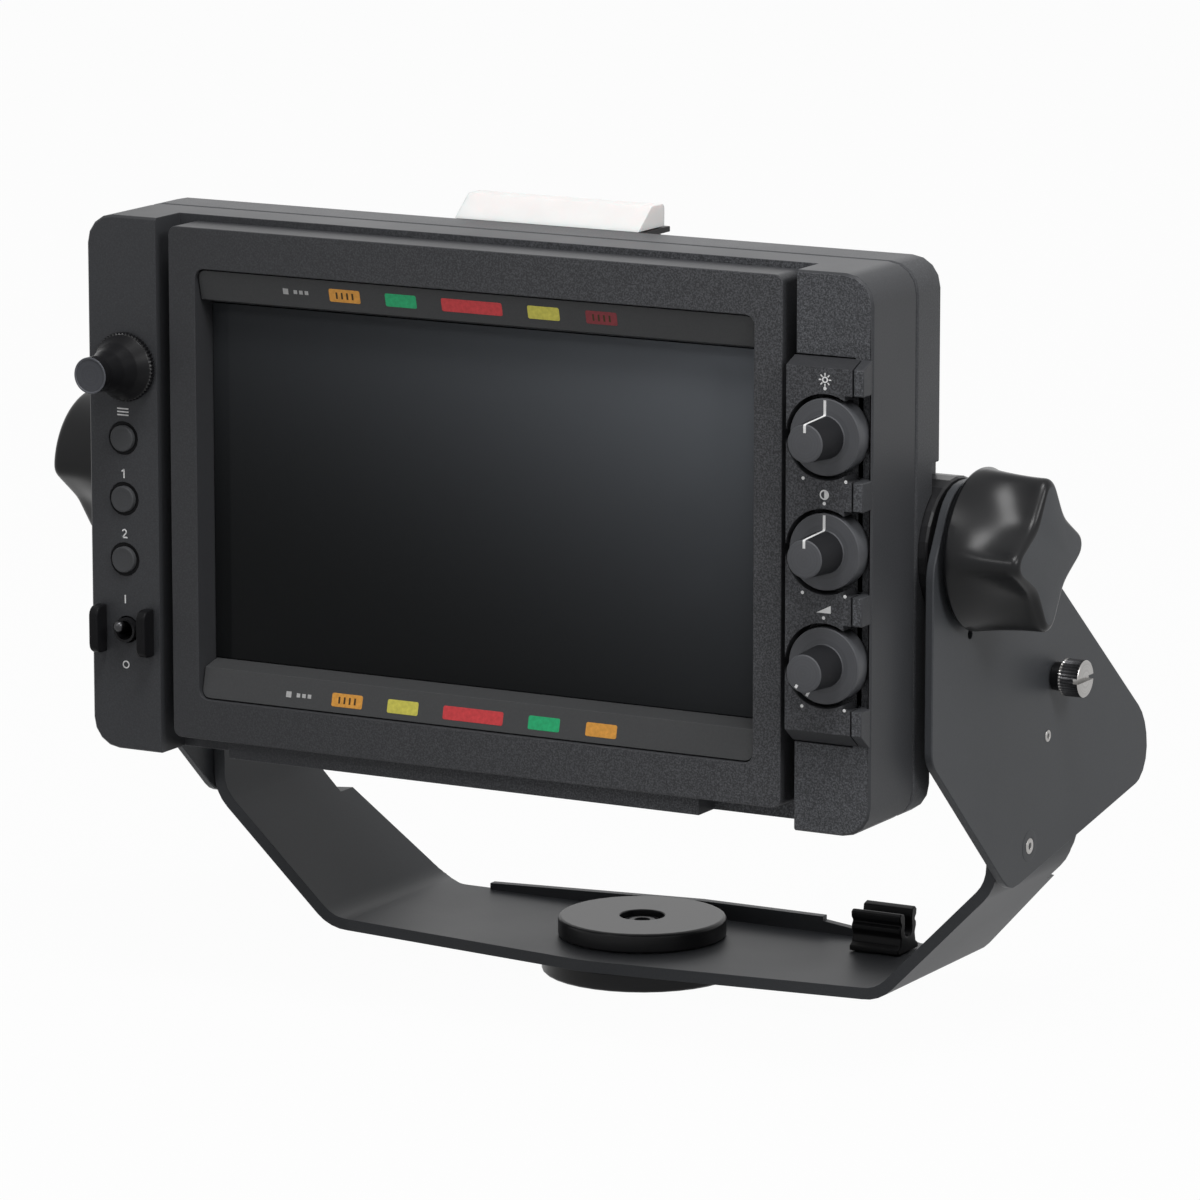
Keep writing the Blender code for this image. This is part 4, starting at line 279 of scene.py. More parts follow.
# turned metal or plastic: fine rings, painted lighter in colour where they would catch the light (painted
# glints)
def makeTurned(name, look):
    material, tree, shader = newMaterial(name, look)
    rings = useGroup(tree, turnedRings, (-700, 0), Rings=look["rings"])
    height = rings.outputs["Height"]
    # painted glints: the colour is made lighter on the rings
    mixed = mixColours(tree, height, look["colour"], brighter(look["colour"], look["ringGlintGain"]))
    link(tree, (mixed, shader.inputs["Base Color"]))
    bumpShader(tree, shader, height, look["bump"], look["bumpDepth"])
    return material


housingLook = {
    "colour": (0.038, 0.0392, 0.0425), "roughness": 0.45, "specular": 0.16,
    "grainSize": 2300.0, "roughen": 0.6, "paintedGlintGain": 3.2, "bump": 0.75, "bumpDepth": 0.18 * mm,
    "sheenSize": 22.0, "sheen": 0.04,
    # painted shade: between the shaded side's two X the grain and its glints grow from the shaded share to
    # full
    "shadedSide": (-0.085, 0.085), "shadedShare": 0.12,  # between these X the grain grows from calm to full
    "sides": 0.12,  # its share on faces that don't look forward
}
# evenGrain puts the shaded side left of the whole object, so that no shade is painted on it
evenGrain = (-0.5, -0.4)  # a shadedSide left of the whole object, so that all of it has full grain
coverLook = dict(
    housingLook, colour=(0.041, 0.0422, 0.0455), paintedGlintGain=1.6, bump=0.35, shadedSide=evenGrain, sides=1.0
)
bezelLook = dict(housingLook, colour=(0.034, 0.0348, 0.0375), bump=0.6, paintedGlintGain=2.9, shadedShare=0.15, sides=0.3)
panelLook = dict(housingLook, colour=(0.030, 0.0307, 0.0333), bump=0.65, paintedGlintGain=3.1, shadedSide=evenGrain)
stripLook = {
    "colour": (0.048, 0.049, 0.0505), "roughness": 0.45, "specular": 0.16,
    "grainSize": 2200.0, "roughen": 0.8, "paintedGlintGain": 1.12, "bump": 0.08, "bumpDepth": 0.06 * mm,
    "sheenSize": 20.0, "sheen": 0.02,
}
paintLook = {
    "colour": (0.047, 0.0495, 0.0540), "roughness": 0.46, "specular": 0.18,
    "grainSize": 2600.0, "roughen": 0.8, "paintedGlintGain": 1.12, "bump": 0.10, "bumpDepth": 0.06 * mm,
    "sheenSize": 16.0, "sheen": 0.03,
}
knobLook = {
    "colour": (0.0080, 0.0082, 0.0090), "roughness": 0.30, "specular": 0.19,
    "grainSize": 3000.0, "roughen": 0.8, "paintedGlintGain": 1.1, "bump": 0.06, "bumpDepth": 0.05 * mm,
    "sheenSize": 40.0, "sheen": 0.03,
}
blackLook = dict(knobLook, colour=(0.011, 0.011, 0.012), roughness=0.40, specular=0.12)
printLook = dict(stripLook, roughness=0.55, specular=0.2)
plasticLooks = {
    "housingPlastic": housingLook,
    "coverPlastic": coverLook,
    "bezelPlastic": bezelLook,
    "panelPlastic": panelLook,
    "stripPlastic": stripLook,
    "bracketPaint": paintLook,
    "platePaint": dict(paintLook, colour=(0.043, 0.0455, 0.0500)),
    "knobPlastic": knobLook,
    "knobFace": dict(knobLook, colour=(0.064, 0.067, 0.072), roughness=0.5, specular=0.12, bump=0.12),
    "blackPlastic": blackLook,
    "guardPlastic": dict(blackLook, colour=(0.008, 0.008, 0.0088), roughness=0.38, specular=0.06),
    "dialPlastic": dict(blackLook, colour=(0.0070, 0.0070, 0.0078), roughness=0.32, specular=0.22),
    "stemPlastic": dict(knobLook, colour=(0.016, 0.0163, 0.0180), roughness=0.5, specular=0.05),
    "buttonPlastic": dict(
        knobLook, colour=(0.050, 0.0515, 0.0545), roughness=0.48, specular=0.16, bump=0.16
    ),
    "boardGreen": dict(knobLook, colour=(0.020, 0.085, 0.045), grainSize=400.0, paintedGlintGain=1.6, roughness=0.4),
    "printWhite": dict(printLook, colour=(0.70, 0.70, 0.70), paintedGlintGain=1.06),
    "printGrey": dict(printLook, colour=(0.38, 0.38, 0.38)),
    "printDark": dict(stripLook, colour=(0.045, 0.028, 0.012), roughness=0.5),
}
turnedLook = {"specular": 0.5, "rings": 2600.0, "ringGlintGain": 1.3, "bump": 0.1, "bumpDepth": 0.05 * mm}
metalLook = dict(turnedLook, metallic=1.0)
turnedLooks = {
    "brushedGrey": dict(
        turnedLook, colour=(0.055, 0.0565, 0.0615), roughness=0.42, specular=0.22, ringGlintGain=1.5, bump=0.25
    ),
    "dialCap": dict(
        turnedLook, colour=(0.034, 0.0355, 0.0405), roughness=0.42, specular=0.20, rings=2200.0,
        ringGlintGain=2.0, bump=0.3,
    ),
    "dialRim": dict(turnedLook, colour=(0.065, 0.068, 0.078), roughness=0.35, specular=0.25),
    "blackAnodised": dict(
        turnedLook, colour=(0.015, 0.015, 0.0162), roughness=0.34, specular=0.18, rings=3000.0,
        ringGlintGain=1.4, bump=0.08,
    ),
    "brightSteel": dict(
        metalLook, colour=(0.16, 0.16, 0.165), roughness=0.20, rings=3000.0, ringGlintGain=1.2, bump=0.08
    ),
    "nickelPlate": dict(metalLook, colour=(0.20, 0.195, 0.19), roughness=0.30, ringGlintGain=2.6),
    "knurlNickel": dict(
        metalLook, colour=(0.045, 0.045, 0.047), roughness=0.32, rings=1800.0, ringGlintGain=3.6, bump=0.2
    ),
    # nickel darkened as a painted dark reflection: it stands in for the dark surroundings that the lever
    # reflects
    "shadedNickel": dict(metalLook, colour=(0.045, 0.045, 0.047), roughness=0.34),
}
finish = {name: makePlastic(name, look) for name, look in plasticLooks.items()}
finish.update({name: makeTurned(name, look) for name, look in turnedLooks.items()})

# the screen front: dark coated glass, with a painted reflection that makes it greyer towards its upper right
screenLook = {
    "colour": (0.0085, 0.0090, 0.0095), "paintedReflectionGrey": (0.160, 0.172, 0.190), "roughness": 0.10, "specular": 0.03,
    "across": 0.45, "upward": 0.55, "curve": 3.0,  # what each way adds, and how late the grey sets in
    "sheenSize": 14.0, "sheenRange": (0.09, 0.13),
}


def makeScreenGlass(look):
    material, tree, shader = newMaterial("screenGlass", look)
    low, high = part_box("display_glass")
    where = addNode(tree, "ShaderNodeTexCoord", (-1100, 0))
    split = addNode(tree, "ShaderNodeSeparateXYZ", (-900, 0))
    # the painted reflection grows across and upward, and sets in late along the curve
    across = addMapRange(tree, (-700, 150), given=(low.x, high.x), made=(0.0, look["across"]))
    upward = addMapRange(tree, (-700, -150), given=(low.z, high.z), made=(0.0, look["upward"]))
    both = addNode(tree, "ShaderNodeMath", (-500, 0), operation="ADD")
    curve = addNode(tree, "ShaderNodeMath", (-400, 0), operation="POWER")
    curve.inputs[1].default_value = look["curve"]
    low, high = look["sheenRange"]
    sheen = useGroup(tree, handlingSheen, (-500, -350), Size=look["sheenSize"], Low=low, High=high)
    link(
        tree,
        (where.outputs["Object"], split.inputs["Vector"]),
        (split.outputs["X"], across.inputs["Value"]),
        (split.outputs["Z"], upward.inputs["Value"]),
        (across.outputs["Result"], both.inputs[0]),
        (upward.outputs["Result"], both.inputs[1]),
        (both.outputs[0], curve.inputs[0]),
        (mixColours(tree, curve.outputs[0], look["colour"], look["paintedReflectionGrey"]), shader.inputs["Base Color"]),
        (sheen.outputs["Value"], shader.inputs["Roughness"]),
    )
    return material


# milky lamp lens: light goes a little way in
lensLook = {
    "colour": (0.80, 0.78, 0.77), "roughness": 0.45, "specular": 0.15,
    "depthWeight": 0.5, "depthRadius": (6 * mm, 4 * mm, 4 * mm), "depthScale": 0.5,
    "hazeSize": 60.0, "hazeLow": (0.78, 0.755, 0.745), "hazeHigh": (0.82, 0.80, 0.79),
}


def makeLampLens(look):
    material, tree, shader = newMaterial("lampLens", look)
    shader.inputs["Subsurface Weight"].default_value = look["depthWeight"]
    shader.inputs["Subsurface Radius"].default_value = look["depthRadius"]
    shader.inputs["Subsurface Scale"].default_value = look["depthScale"]
    haze = useGroup(tree, handlingSheen, (-600, 0), Size=look["hazeSize"])
    mixed = mixColours(tree, haze.outputs["Value"], look["hazeLow"], look["hazeHigh"])
    link(tree, (mixed, shader.inputs["Base Color"]))
    return material


finish["screenGlass"] = makeScreenGlass(screenLook)
finish["lampLens"] = makeLampLens(lensLook)
print("materials made:", len(finish))

finishOfSlot = {
    "housing_plastic": "housingPlastic",
    "bezel_plastic": "bezelPlastic",
    "panel_plastic": "panelPlastic",
    "bracket_paint": "bracketPaint",
    "plate_paint": "platePaint",
    "black_metal": "blackAnodised",
    "steel": "brightSteel",
    "nickel": "nickelPlate",
    "knob_plastic": "knobPlastic",
    "screen_glass": "screenGlass",
    "lcd_black": "blackPlastic",
    "lamp_white": "lampLens",
    "board_green": "boardGreen",
    "part_black": "blackPlastic",
    "washer_nylon": "blackPlastic",
}
for node, slot in slotOfNode.items():
    cadNodes[node].data.materials.clear()
    cadNodes[node].data.materials.append(finish[finishOfSlot[slot]])


def joinBody(piece, node):
    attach(piece, cadNodes[node]["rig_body"])
    return piece


def addPiece(name, mesh, *finishes):
    piece = bpy.data.objects.new(name, mesh)
    bpy.context.scene.collection.objects.link(piece)
    if len(mesh.materials):  # clearing also puts all faces on the first material, so only when needed
        mesh.materials.clear()
    for finishName in finishes:
        mesh.materials.append(finish[finishName])
    return piece


def roundEdges(piece, width, steps, angle=30):
    bevel = piece.modifiers.new("roundedEdge", "BEVEL")
    bevel.width = width
    bevel.segments = steps
    bevel.angle_limit = math.radians(angle)
    return bevel


# rigid shells: copies of frame nodes, with edges rounded as moulded and painted parts have them
shellEdges = {
    "front_housing": (0.7 * mm, "housingPlastic"),
    "rear_cover": (0.5 * mm, "coverPlastic"),
    "bezel_frame": (0.45 * mm, "bezelPlastic"),
    "upper_light_strip": (0.15 * mm, "stripPlastic"),
    "lower_light_strip": (0.15 * mm, "stripPlastic"),
    "u_bracket": (0.35 * mm, "bracketPaint"),
    "left_side_plate": (0.25 * mm, "platePaint"),
    "right_side_plate": (0.25 * mm, "platePaint"),
    "knob_panel": (0.35 * mm, "panelPlastic"),
    "lamp_leg": (0.3 * mm, "coverPlastic"),
    "tally_lamp_base": (0.2 * mm, "blackPlastic"),
    "tally_lamp_lens": (1.1 * mm, "lampLens"),
    "inner_toggle_guard": (0.5 * mm, "guardPlastic"),
    "outer_toggle_guard": (0.5 * mm, "guardPlastic"),
    "base_disc": (0.15 * mm, "blackAnodised"),
    "swivel_cap": (0.4 * mm, "blackAnodised"),
}
shellFinish = {"merge": 0.002 * mm, "steps": 2, "angle": 28}
panelReach = {"from": 104.9 * mm, "wider": 1.7 * mm}  # the knob panel's right edge, moved outward


def roundedCopy(node, width, finishName):
    mesh = cadNodes[node].data.copy()
    shape = bmesh.new()
    shape.from_mesh(mesh)
    bmesh.ops.remove_doubles(shape, verts=shape.verts, dist=shellFinish["merge"])
    bmesh.ops.dissolve_limit(shape, angle_limit=flatAngle, verts=shape.verts, edges=shape.edges)
    for face in shape.faces:
        face.smooth = True
    shape.to_mesh(mesh)
    shape.free()
    piece = addPiece(node + "_finish", mesh, finishName)
    roundEdges(piece, width, shellFinish["steps"], shellFinish["angle"]).miter_outer = "MITER_ARC"
    piece.modifiers.new("evenShading", "WEIGHTED_NORMAL")
    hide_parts(node)
    return joinBody(piece, node)


shells = {node: roundedCopy(node, *edge) for node, edge in shellEdges.items()}
for vertex in shells["knob_panel"].data.vertices:
    if vertex.co.x > panelReach["from"]:
        vertex.co.x += panelReach["wider"]
print("shells rounded:", len(shells))


# a path through (x, y, bend) corners, in which each corner with a bend becomes an arc
def bentPath(corners, steps=4, closed=False):
    path = []
    last = len(corners) - 1
    for index, (x, y, bend) in enumerate(corners):
        here = Vector((x, y))
        if not bend or (not closed and index in (0, last)):
            path.append(here)
            continue
        before = Vector(corners[index - 1][:2]) - here
        after = Vector(corners[(index + 1) % len(corners)][:2]) - here
        half = before.angle(after) / 2
        reach = min(bend / math.tan(half), 0.49 * before.length, 0.49 * after.length)  # leaves room for both
        radius = reach * math.tan(half)
        centre = here + (before.normalized() + after.normalized()).normalized() * radius / math.sin(half)
        first = here + before.normalized() * reach - centre
        second = here + after.normalized() * reach - centre
        start = math.atan2(first.y, first.x)
        sweep = (math.atan2(second.y, second.x) - start + math.pi) % (2 * math.pi) - math.pi
        for step in range(steps + 1):
            angle = start + sweep * step / steps
            path.append(centre + Vector((math.cos(angle), math.sin(angle))) * radius)
    return path


def finishMesh(shape, name, sharp=32):
    mesh = bpy.data.meshes.new(name)
    bmesh.ops.recalc_face_normals(shape, faces=shape.faces)
    for face in shape.faces:
        face.smooth = True
    shape.to_mesh(mesh)
    shape.free()
    mesh.set_sharp_from_angle(angle=math.radians(sharp))
    return mesh


# a profile of (radius, height) points turned round local Z, from the middle of its front to its back;
# band gives a face's material, and ribs are grooves between two heights
def turnedMesh(name, profile, steps=96, band=None, ribs=None):
    shape = bmesh.new()
    rings = []
    for radius, height in profile:
        if radius < hair:
            rings.append([shape.verts.new((0, 0, height))])
            continue
        ring = []
        for step in range(steps):
            angle = 2 * math.pi * step / steps
            reach = radius
            if ribs and radius > ribs["from"] and ribs["low"] < height < ribs["high"]:
                reach -= ribs["depth"] * (0.5 - 0.5 * math.cos(ribs["count"] * angle))
            ring.append(shape.verts.new((reach * math.cos(angle), reach * math.sin(angle), height)))
        rings.append(ring)
    for span, (first, second) in enumerate(zip(rings, rings[1:])):
        middle = (Vector(profile[span]) + Vector(profile[span + 1])) / 2
        for step in range(steps):
            after = (step + 1) % steps
            corners = [first[step % len(first)], second[step % len(second)]]
            if len(second) > 1:
                corners.append(second[after])
            if len(first) > 1:
                corners.append(first[after])
            face = shape.faces.new(corners)
            face.material_index = band(middle.x, middle.y) if band else 0
    return finishMesh(shape, name)


# outlines of (x, y) points made flat bodies from one height to another
def plateMesh(name, outlines, low, high):
    shape = bmesh.new()
    for outline in outlines:
        lower = [shape.verts.new((x, y, low)) for x, y in outline]
        upper = [shape.verts.new((x, y, high)) for x, y in outline]
        shape.faces.new(upper)
        shape.faces.new(list(reversed(lower)))
        for index in range(len(outline)):
            after = (index + 1) % len(outline)
            shape.faces.new((lower[index], lower[after], upper[after], upper[index]))
    return finishMesh(shape, name)


# turns that bring a piece's local Z to the side named
facings = {
    "front": (math.pi / 2, 0, 0),
    "right": (0, math.pi / 2, 0),
    "left": (0, -math.pi / 2, 0),
    "up": (0, 0, 0),
    "down": (math.pi, 0, 0),
}
alongX = Matrix(((0, 0, 1, 0), (1, 0, 0, 0), (0, 1, 0, 0), (0, 0, 0, 1)))  # an outline of (y, z), run along X


# puts a piece on a spot, with an extra tilt round world X
def placePiece(piece, spot, facing, tilt=0.0):
    turn = Matrix.Rotation(tilt, 4, "X") @ Euler(facings[facing]).to_matrix().to_4x4()
    piece.matrix_world = Matrix.Translation(spot) @ turn
    return piece


def centreOf(node):
    low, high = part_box(node)
    return (Vector(low) + Vector(high)) / 2


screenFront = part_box("bezel_frame")[0].y
screenCentre = centreOf("bezel_frame")
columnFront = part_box("front_housing")[0].y
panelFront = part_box("knob_panel")[0].y
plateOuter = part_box("right_side_plate")[1].x
signOf = {"right": 1, "left": -1}


def frontSpot(node):
    middle = centreOf(node)
    return Vector((middle.x, screenFront, middle.z))


def replaceTurned(node, profile, finishes, spot, facing, tilt=0.0, **details):
    piece = addPiece(node + "_finish", turnedMesh(node + "_finish", profile, **details), *finishes)
    placePiece(piece, spot, facing, tilt)
    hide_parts(node)
    return joinBody(piece, node)


# tilt knobs: a round heel lofted into a face with scallops, which are counted in quarter turns
tiltKnob = {
    "start": 1.4 * mm, "length": 19.5 * mm, "heel": 1.2 * mm, "edge": 1.9 * mm, "inner": 20.0 * mm,
    "lobe": 21.6 * mm, "round": 19.3 * mm, "waist": 12.0 * mm, "lobeBend": 3.0 * mm, "waistBend": 13.0 * mm,
    "bendSteps": 16, "roundSteps": 12, "points": 176, "easing": 8, "edgeSteps": 5, "bodySteps": 12,
    "sharp": 40,
    "scallops": {"right": (0, 1, 2, 3), "left": (0, 2)},
}


# the same closed path with evenly spaced points, eased so that its curvature has no jumps
def evenPath(path, count, easing):
    lengths = [0]
    for index, point in enumerate(path):
        lengths.append(lengths[-1] + (path[(index + 1) % len(path)] - point).length)
    even = []
    index = 0
    for step in range(count):
        reach = lengths[-1] * step / count
        while lengths[index + 1] < reach:
            index += 1
        share = (reach - lengths[index]) / (lengths[index + 1] - lengths[index])
        even.append(path[index].lerp(path[(index + 1) % len(path)], share))
    for turn in range(easing):
        after = even[1:] + even[:1]
        even = [even[index - 1] / 4 + even[index] / 2 + after[index] / 4 for index in range(count)]
    return even


def lobedOutline(look, scallops):
    corners = []
    quarter = math.pi / 2
    for index in range(4):
        lobed = index in scallops and (index - 1) % 4 in scallops
        spots = [(look["lobe"] if lobed else look["round"], index * quarter, look["lobeBend"])]
        if index in scallops:
            spots.append((look["waist"], (index + 0.5) * quarter, look["waistBend"]))
        else:
            shares = [step / look["roundSteps"] for step in range(1, look["roundSteps"])]
            spots += [(look["round"], (index + share) * quarter, 0) for share in shares]
        corners += [(radius * math.cos(turn), radius * math.sin(turn), bend) for radius, turn, bend in spots]
    return evenPath(bentPath(corners, look["bendSteps"], closed=True), look["points"], look["easing"])


def tiltKnobMesh(name, look, scallops):
    outline = lobedOutline(look, scallops)
    bodyLow = look["start"] + look["heel"]
    bodyHigh = look["start"] + look["length"] - look["edge"]
    arc = [math.pi / 2 * step / look["edgeSteps"] for step in range(look["edgeSteps"] + 1)]
    rings = []  # (height, share of the lobed outline, inset)
    for angle in arc:
        height = look["start"] + look["heel"] * (1 - math.cos(angle))
        rings.append((height, 0, look["heel"] * (1 - math.sin(angle))))
    for step in range(1, look["bodySteps"] + 1):
        share = step / look["bodySteps"]
        rings.append((bodyLow + share * (bodyHigh - bodyLow), math.sin(share * math.pi / 2), 0))
    for angle in arc[1:]:
        height = bodyHigh + look["edge"] * math.sin(angle)
        rings.append((height, 1, look["edge"] * (1 - math.cos(angle))))
    shape = bmesh.new()
    rows = []
    for height, share, inset in rings:
        row = []
        for point in outline:
            radius = (1 - share) * look["inner"] + share * point.length - inset
            spot = point.normalized() * radius
            row.append(shape.verts.new((spot.x, spot.y, height)))
        rows.append(row)
    for lower, upper in zip(rows, rows[1:]):
        for index in range(len(outline)):
            after = (index + 1) % len(outline)
            shape.faces.new((lower[index], lower[after], upper[after], upper[index]))
    shape.faces.new(rows[-1]).material_index = 1
    shape.faces.new(list(reversed(rows[0])))
    return finishMesh(shape, name, look["sharp"])


for side, scallops in tiltKnob["scallops"].items():
    node = side + "_tilt_knob"
    washer = centreOf(side + "_knob_washer")
    knob = addPiece(node + "_finish", tiltKnobMesh(node, tiltKnob, scallops), "knobPlastic", "knobFace")
    placePiece(knob, (signOf[side] * plateOuter, washer.y, washer.z), side)
    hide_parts(node)
    joinBody(knob, node)
print("tilt knobs made")


# control knobs: a flange, a stem and a white pointer over both, which is broken on the lower knob
controlKnob = {
    "flange": 9.3 * mm, "flangeFront": 4.4 * mm, "flangeBend": 0.3 * mm, "base": 5.2 * mm,
    "baseBend": 0.35 * mm, "stem": 4.6 * mm, "front": 14.8 * mm, "frontBend": 0.4 * mm, "back": -1.4 * mm,
    "backBend": 0.2 * mm, "bandLow": 0.3 * mm, "bandHigh": 0.35 * mm,
    "pointerWidth": 0.68 * mm, "proud": 0.04 * mm, "pointerStart": 2.6 * mm, "pointerEnd": 0.4 * mm,
    "broken": "lower_knob", "tipStart": 3.2 * mm, "tipEnd": 0.5 * mm, "rimStart": 1.8 * mm,
    "turn": {"upper_knob": 90, "middle_knob": 90, "lower_knob": -120},
}


def controlProfile(look):
    return bentPath([
        (0, look["front"], 0),
        (look["stem"], look["front"], look["frontBend"]),
        (look["base"], look["flangeFront"], look["baseBend"]),
        (look["flange"], look["flangeFront"], look["flangeBend"]),
        (look["flange"], look["back"], look["backBend"]),
        (0, look["back"], 0),
    ])


def stemBand(radius, height):
    low = controlKnob["flangeFront"] + controlKnob["bandLow"]
    high = controlKnob["front"] - controlKnob["bandHigh"]
    return 1 if low < height < high else 0


# where the pointer runs, in (radius, height): over the profile, or only on the stem's end and the rim
def pointerPaths(node, look, profile):
    front, flangeFront = look["front"], look["flangeFront"]
    outer = look["flange"] - look["pointerEnd"]
    if node == look["broken"]:
        return [
            [Vector((look["tipStart"], front)), Vector((look["stem"] - look["tipEnd"], front))],
            [Vector((look["flange"] - look["rimStart"], flangeFront)), Vector((outer, flangeFront))],
        ]
    seen = [point for point in profile if point.x > look["pointerStart"] and point.y > flangeFront - hair]
    path = [Vector((look["pointerStart"], front))] + [point for point in seen if point.x < outer]
    return [path + [Vector((outer, flangeFront))]]


# a printed line that follows paths outward, on both sides of the surface
def pointerMesh(name, paths, width, turn, proud):
    shape = bmesh.new()
    across = Vector((-math.sin(turn), math.cos(turn), 0)) * width / 2
    along = Vector((math.cos(turn), math.sin(turn), 0))
    for path in paths:
        rows = []
        for index, (radius, height) in enumerate(path):
            before = Vector(path[max(index - 1, 0)])
            after = Vector(path[min(index + 1, len(path) - 1)])
            slope = (after - before).normalized()
            outward = Vector((-slope.y, slope.x))
            row = []
            for lift in (-proud, proud):
                spot = Vector((radius, height)) + outward * lift
                middle = along * spot.x + Vector((0, 0, spot.y))
                row += [shape.verts.new(middle - across), shape.verts.new(middle + across)]
            rows.append(row)
        for low, high in zip(rows, rows[1:]):
            for first, second in ((0, 1), (1, 3), (3, 2), (2, 0)):
                shape.faces.new((low[first], low[second], high[second], high[first]))
        for row in (rows[0], rows[-1]):
            shape.faces.new((row[0], row[1], row[3], row[2]))
    return finishMesh(shape, name)


def makeControlKnobs(look):
    profile = controlProfile(look)
    for node, turn in look["turn"].items():
        replaceTurned(node, profile, ["brushedGrey", "stemPlastic"], frontSpot(node), "front", band=stemBand)
        paths = pointerPaths(node, look, profile)
        mesh = pointerMesh(node + "_pointer", paths, look["pointerWidth"], math.radians(turn), look["proud"])
        pointer = addPiece(node + "_pointer", mesh, "printWhite")
        placePiece(pointer, frontSpot(node), "front")
        joinBody(pointer, node)


makeControlKnobs(controlKnob)
print("control knobs made")


# menu dial: a ribbed rim, a smooth waisted body and a rimmed cap with a shallow dish
menuDial = {
    "rim": 8.75 * mm, "rimFront": 1.9 * mm, "rimSlope": (0.5 * mm, 0.3 * mm), "rimBend": 0.2 * mm,
    "slopeBend": 0.6 * mm, "shoulder": 6.6 * mm, "shoulderFront": 5.2 * mm, "shoulderBend": 4 * mm,
    "waist": 5.2 * mm, "waistFront": 9.0 * mm, "waistBend": 6 * mm, "neck": 4.2 * mm, "neckDrop": 0.5 * mm,
    "cap": 4.6 * mm, "capBack": 13.7 * mm, "capBend": 0.3 * mm, "front": 16.7 * mm, "capRim": 0.45 * mm,
    "rimBand": 0.8 * mm, "dish": 0.2 * mm, "dishBend": 0.1 * mm, "back": 0.3 * mm, "bendSteps": 5,
    "ribCount": 56, "ribDepth": 0.45 * mm, "ribInner": 0.7 * mm, "steps": 224,
}


def dialBand(radius, height):
    look = menuDial
    if height > look["front"] - look["dish"] - hair and radius < look["cap"] - look["capRim"]:
        return 0
    return 2 if height > look["front"] - look["rimBand"] else 1


def makeMenuDial(look):
    dished = look["front"] - look["dish"]
    dishEdge = look["cap"] - look["capRim"]
    inward, drop = look["rimSlope"]
    profile = bentPath([
        (0, dished, 0),
        (dishEdge - look["dishBend"], dished, look["dishBend"]),
        (dishEdge + look["dishBend"], look["front"], look["dishBend"]),
        (look["cap"], look["front"], look["capBend"]),
        (look["cap"], look["capBack"], look["capBend"]),
        (look["neck"], look["capBack"] - look["neckDrop"], look["capBend"]),
        (look["waist"], look["waistFront"], look["waistBend"]),
        (look["shoulder"], look["shoulderFront"], look["shoulderBend"]),
        (look["rim"] - inward, look["rimFront"], look["slopeBend"]),
        (look["rim"], look["rimFront"] - drop, look["rimBend"]),
        (look["rim"], look["back"], 0),
        (0, look["back"], 0),
    ], look["bendSteps"])
    ribs = {
        "from": look["rim"] - look["ribInner"], "low": 0, "high": look["rimFront"],
        "depth": look["ribDepth"], "count": look["ribCount"],
    }
    replaceTurned(
        "menu_dial", profile, ["dialCap", "dialPlastic", "dialRim"], frontSpot("menu_dial"), "front",
        steps=look["steps"], band=dialBand, ribs=ribs,
    )


makeMenuDial(menuDial)


# buttons: low caps with a soft edge and a slightly hollow face
columnButtons = ("menu_button", "function_button_1", "function_button_2")
buttonCap = {
    "radius": 3.3 * mm, "proud": 1.0 * mm, "dish": 0.12 * mm, "edge": 0.4 * mm, "back": -2.8 * mm,
    "hollow": 2.0 * mm, "hollowDepth": 0.6, "hollowBend": 3 * mm, "crest": 2.7 * mm, "crestBend": 1 * mm,
}
# dark rings that fill the recess round each button: painted shade of the recess
shadeRing = {"inner": 3.35 * mm, "outer": 4.25 * mm, "front": -0.25 * mm, "back": -0.6 * mm, "steps": 64}


def makeButtons(look):
    profile = bentPath([
        (0, look["proud"] - look["dish"], 0),
        (look["hollow"], look["proud"] - look["hollowDepth"] * look["dish"], look["hollowBend"]),
        (look["crest"], look["proud"], look["crestBend"]),
        (look["radius"], look["proud"], look["edge"]),
        (look["radius"], look["back"], 0),
        (0, look["back"], 0),
    ])
    for node in columnButtons:
        replaceTurned(node, profile, ["buttonPlastic"], frontSpot(node), "front")


def makeShadeRings(look):
    inner, outer, front, back = look["inner"], look["outer"], look["front"], look["back"]
    profile = [(inner, front), (outer, front), (outer, back), (inner, back), (inner, front)]
    for node in columnButtons:
        name = node + "_gasket"
        # painted shade: a dark ring laid in the recess
        ringPiece = addPiece(name, turnedMesh(name, profile, look["steps"]), "guardPlastic")
        placePiece(ringPiece, frontSpot(node), "front")
        joinBody(ringPiece, "front_housing")


makeButtons(buttonCap)
makeShadeRings(shadeRing)


# power toggle: a thin lever with a round tip, leaning up from its pivot
toggleLook = {
    "tip": 1.5 * mm, "length": 8.5 * mm, "neck": 0.95 * mm, "neckFront": 2.2 * mm, "neckTaper": 1.1,
    "ball": 1.4 * mm, "pivotBack": 3.0 * mm, "drop": 38.7 * mm, "lean": 12.0,
    "tipSteps": 10, "tipSweep": 140, "steps": 40,
}


def makeToggle(look):
    tipCentre = look["length"] - look["tip"]
    profile = []
    for step in range(look["tipSteps"] + 1):
        angle = math.radians(look["tipSweep"] * step / look["tipSteps"])
        profile.append(Vector((look["tip"] * math.sin(angle), tipCentre + look["tip"] * math.cos(angle))))
    profile += [
        Vector((look["neck"], tipCentre - look["neckFront"])),
        Vector((look["neck"] * look["neckTaper"], look["ball"])),
        Vector((look["ball"], 0)),
        Vector((0, -look["ball"])),
    ]
    x = centreOf("power_toggle").x
    pivot = Vector((x, screenFront + look["pivotBack"], screenCentre.z - look["drop"]))
    tilt = -math.radians(look["lean"])
    # the lever is in the darkened nickel: painted dark reflection
    replaceTurned("power_toggle", profile, ["shadedNickel"], pivot, "front", tilt=tilt, steps=look["steps"])


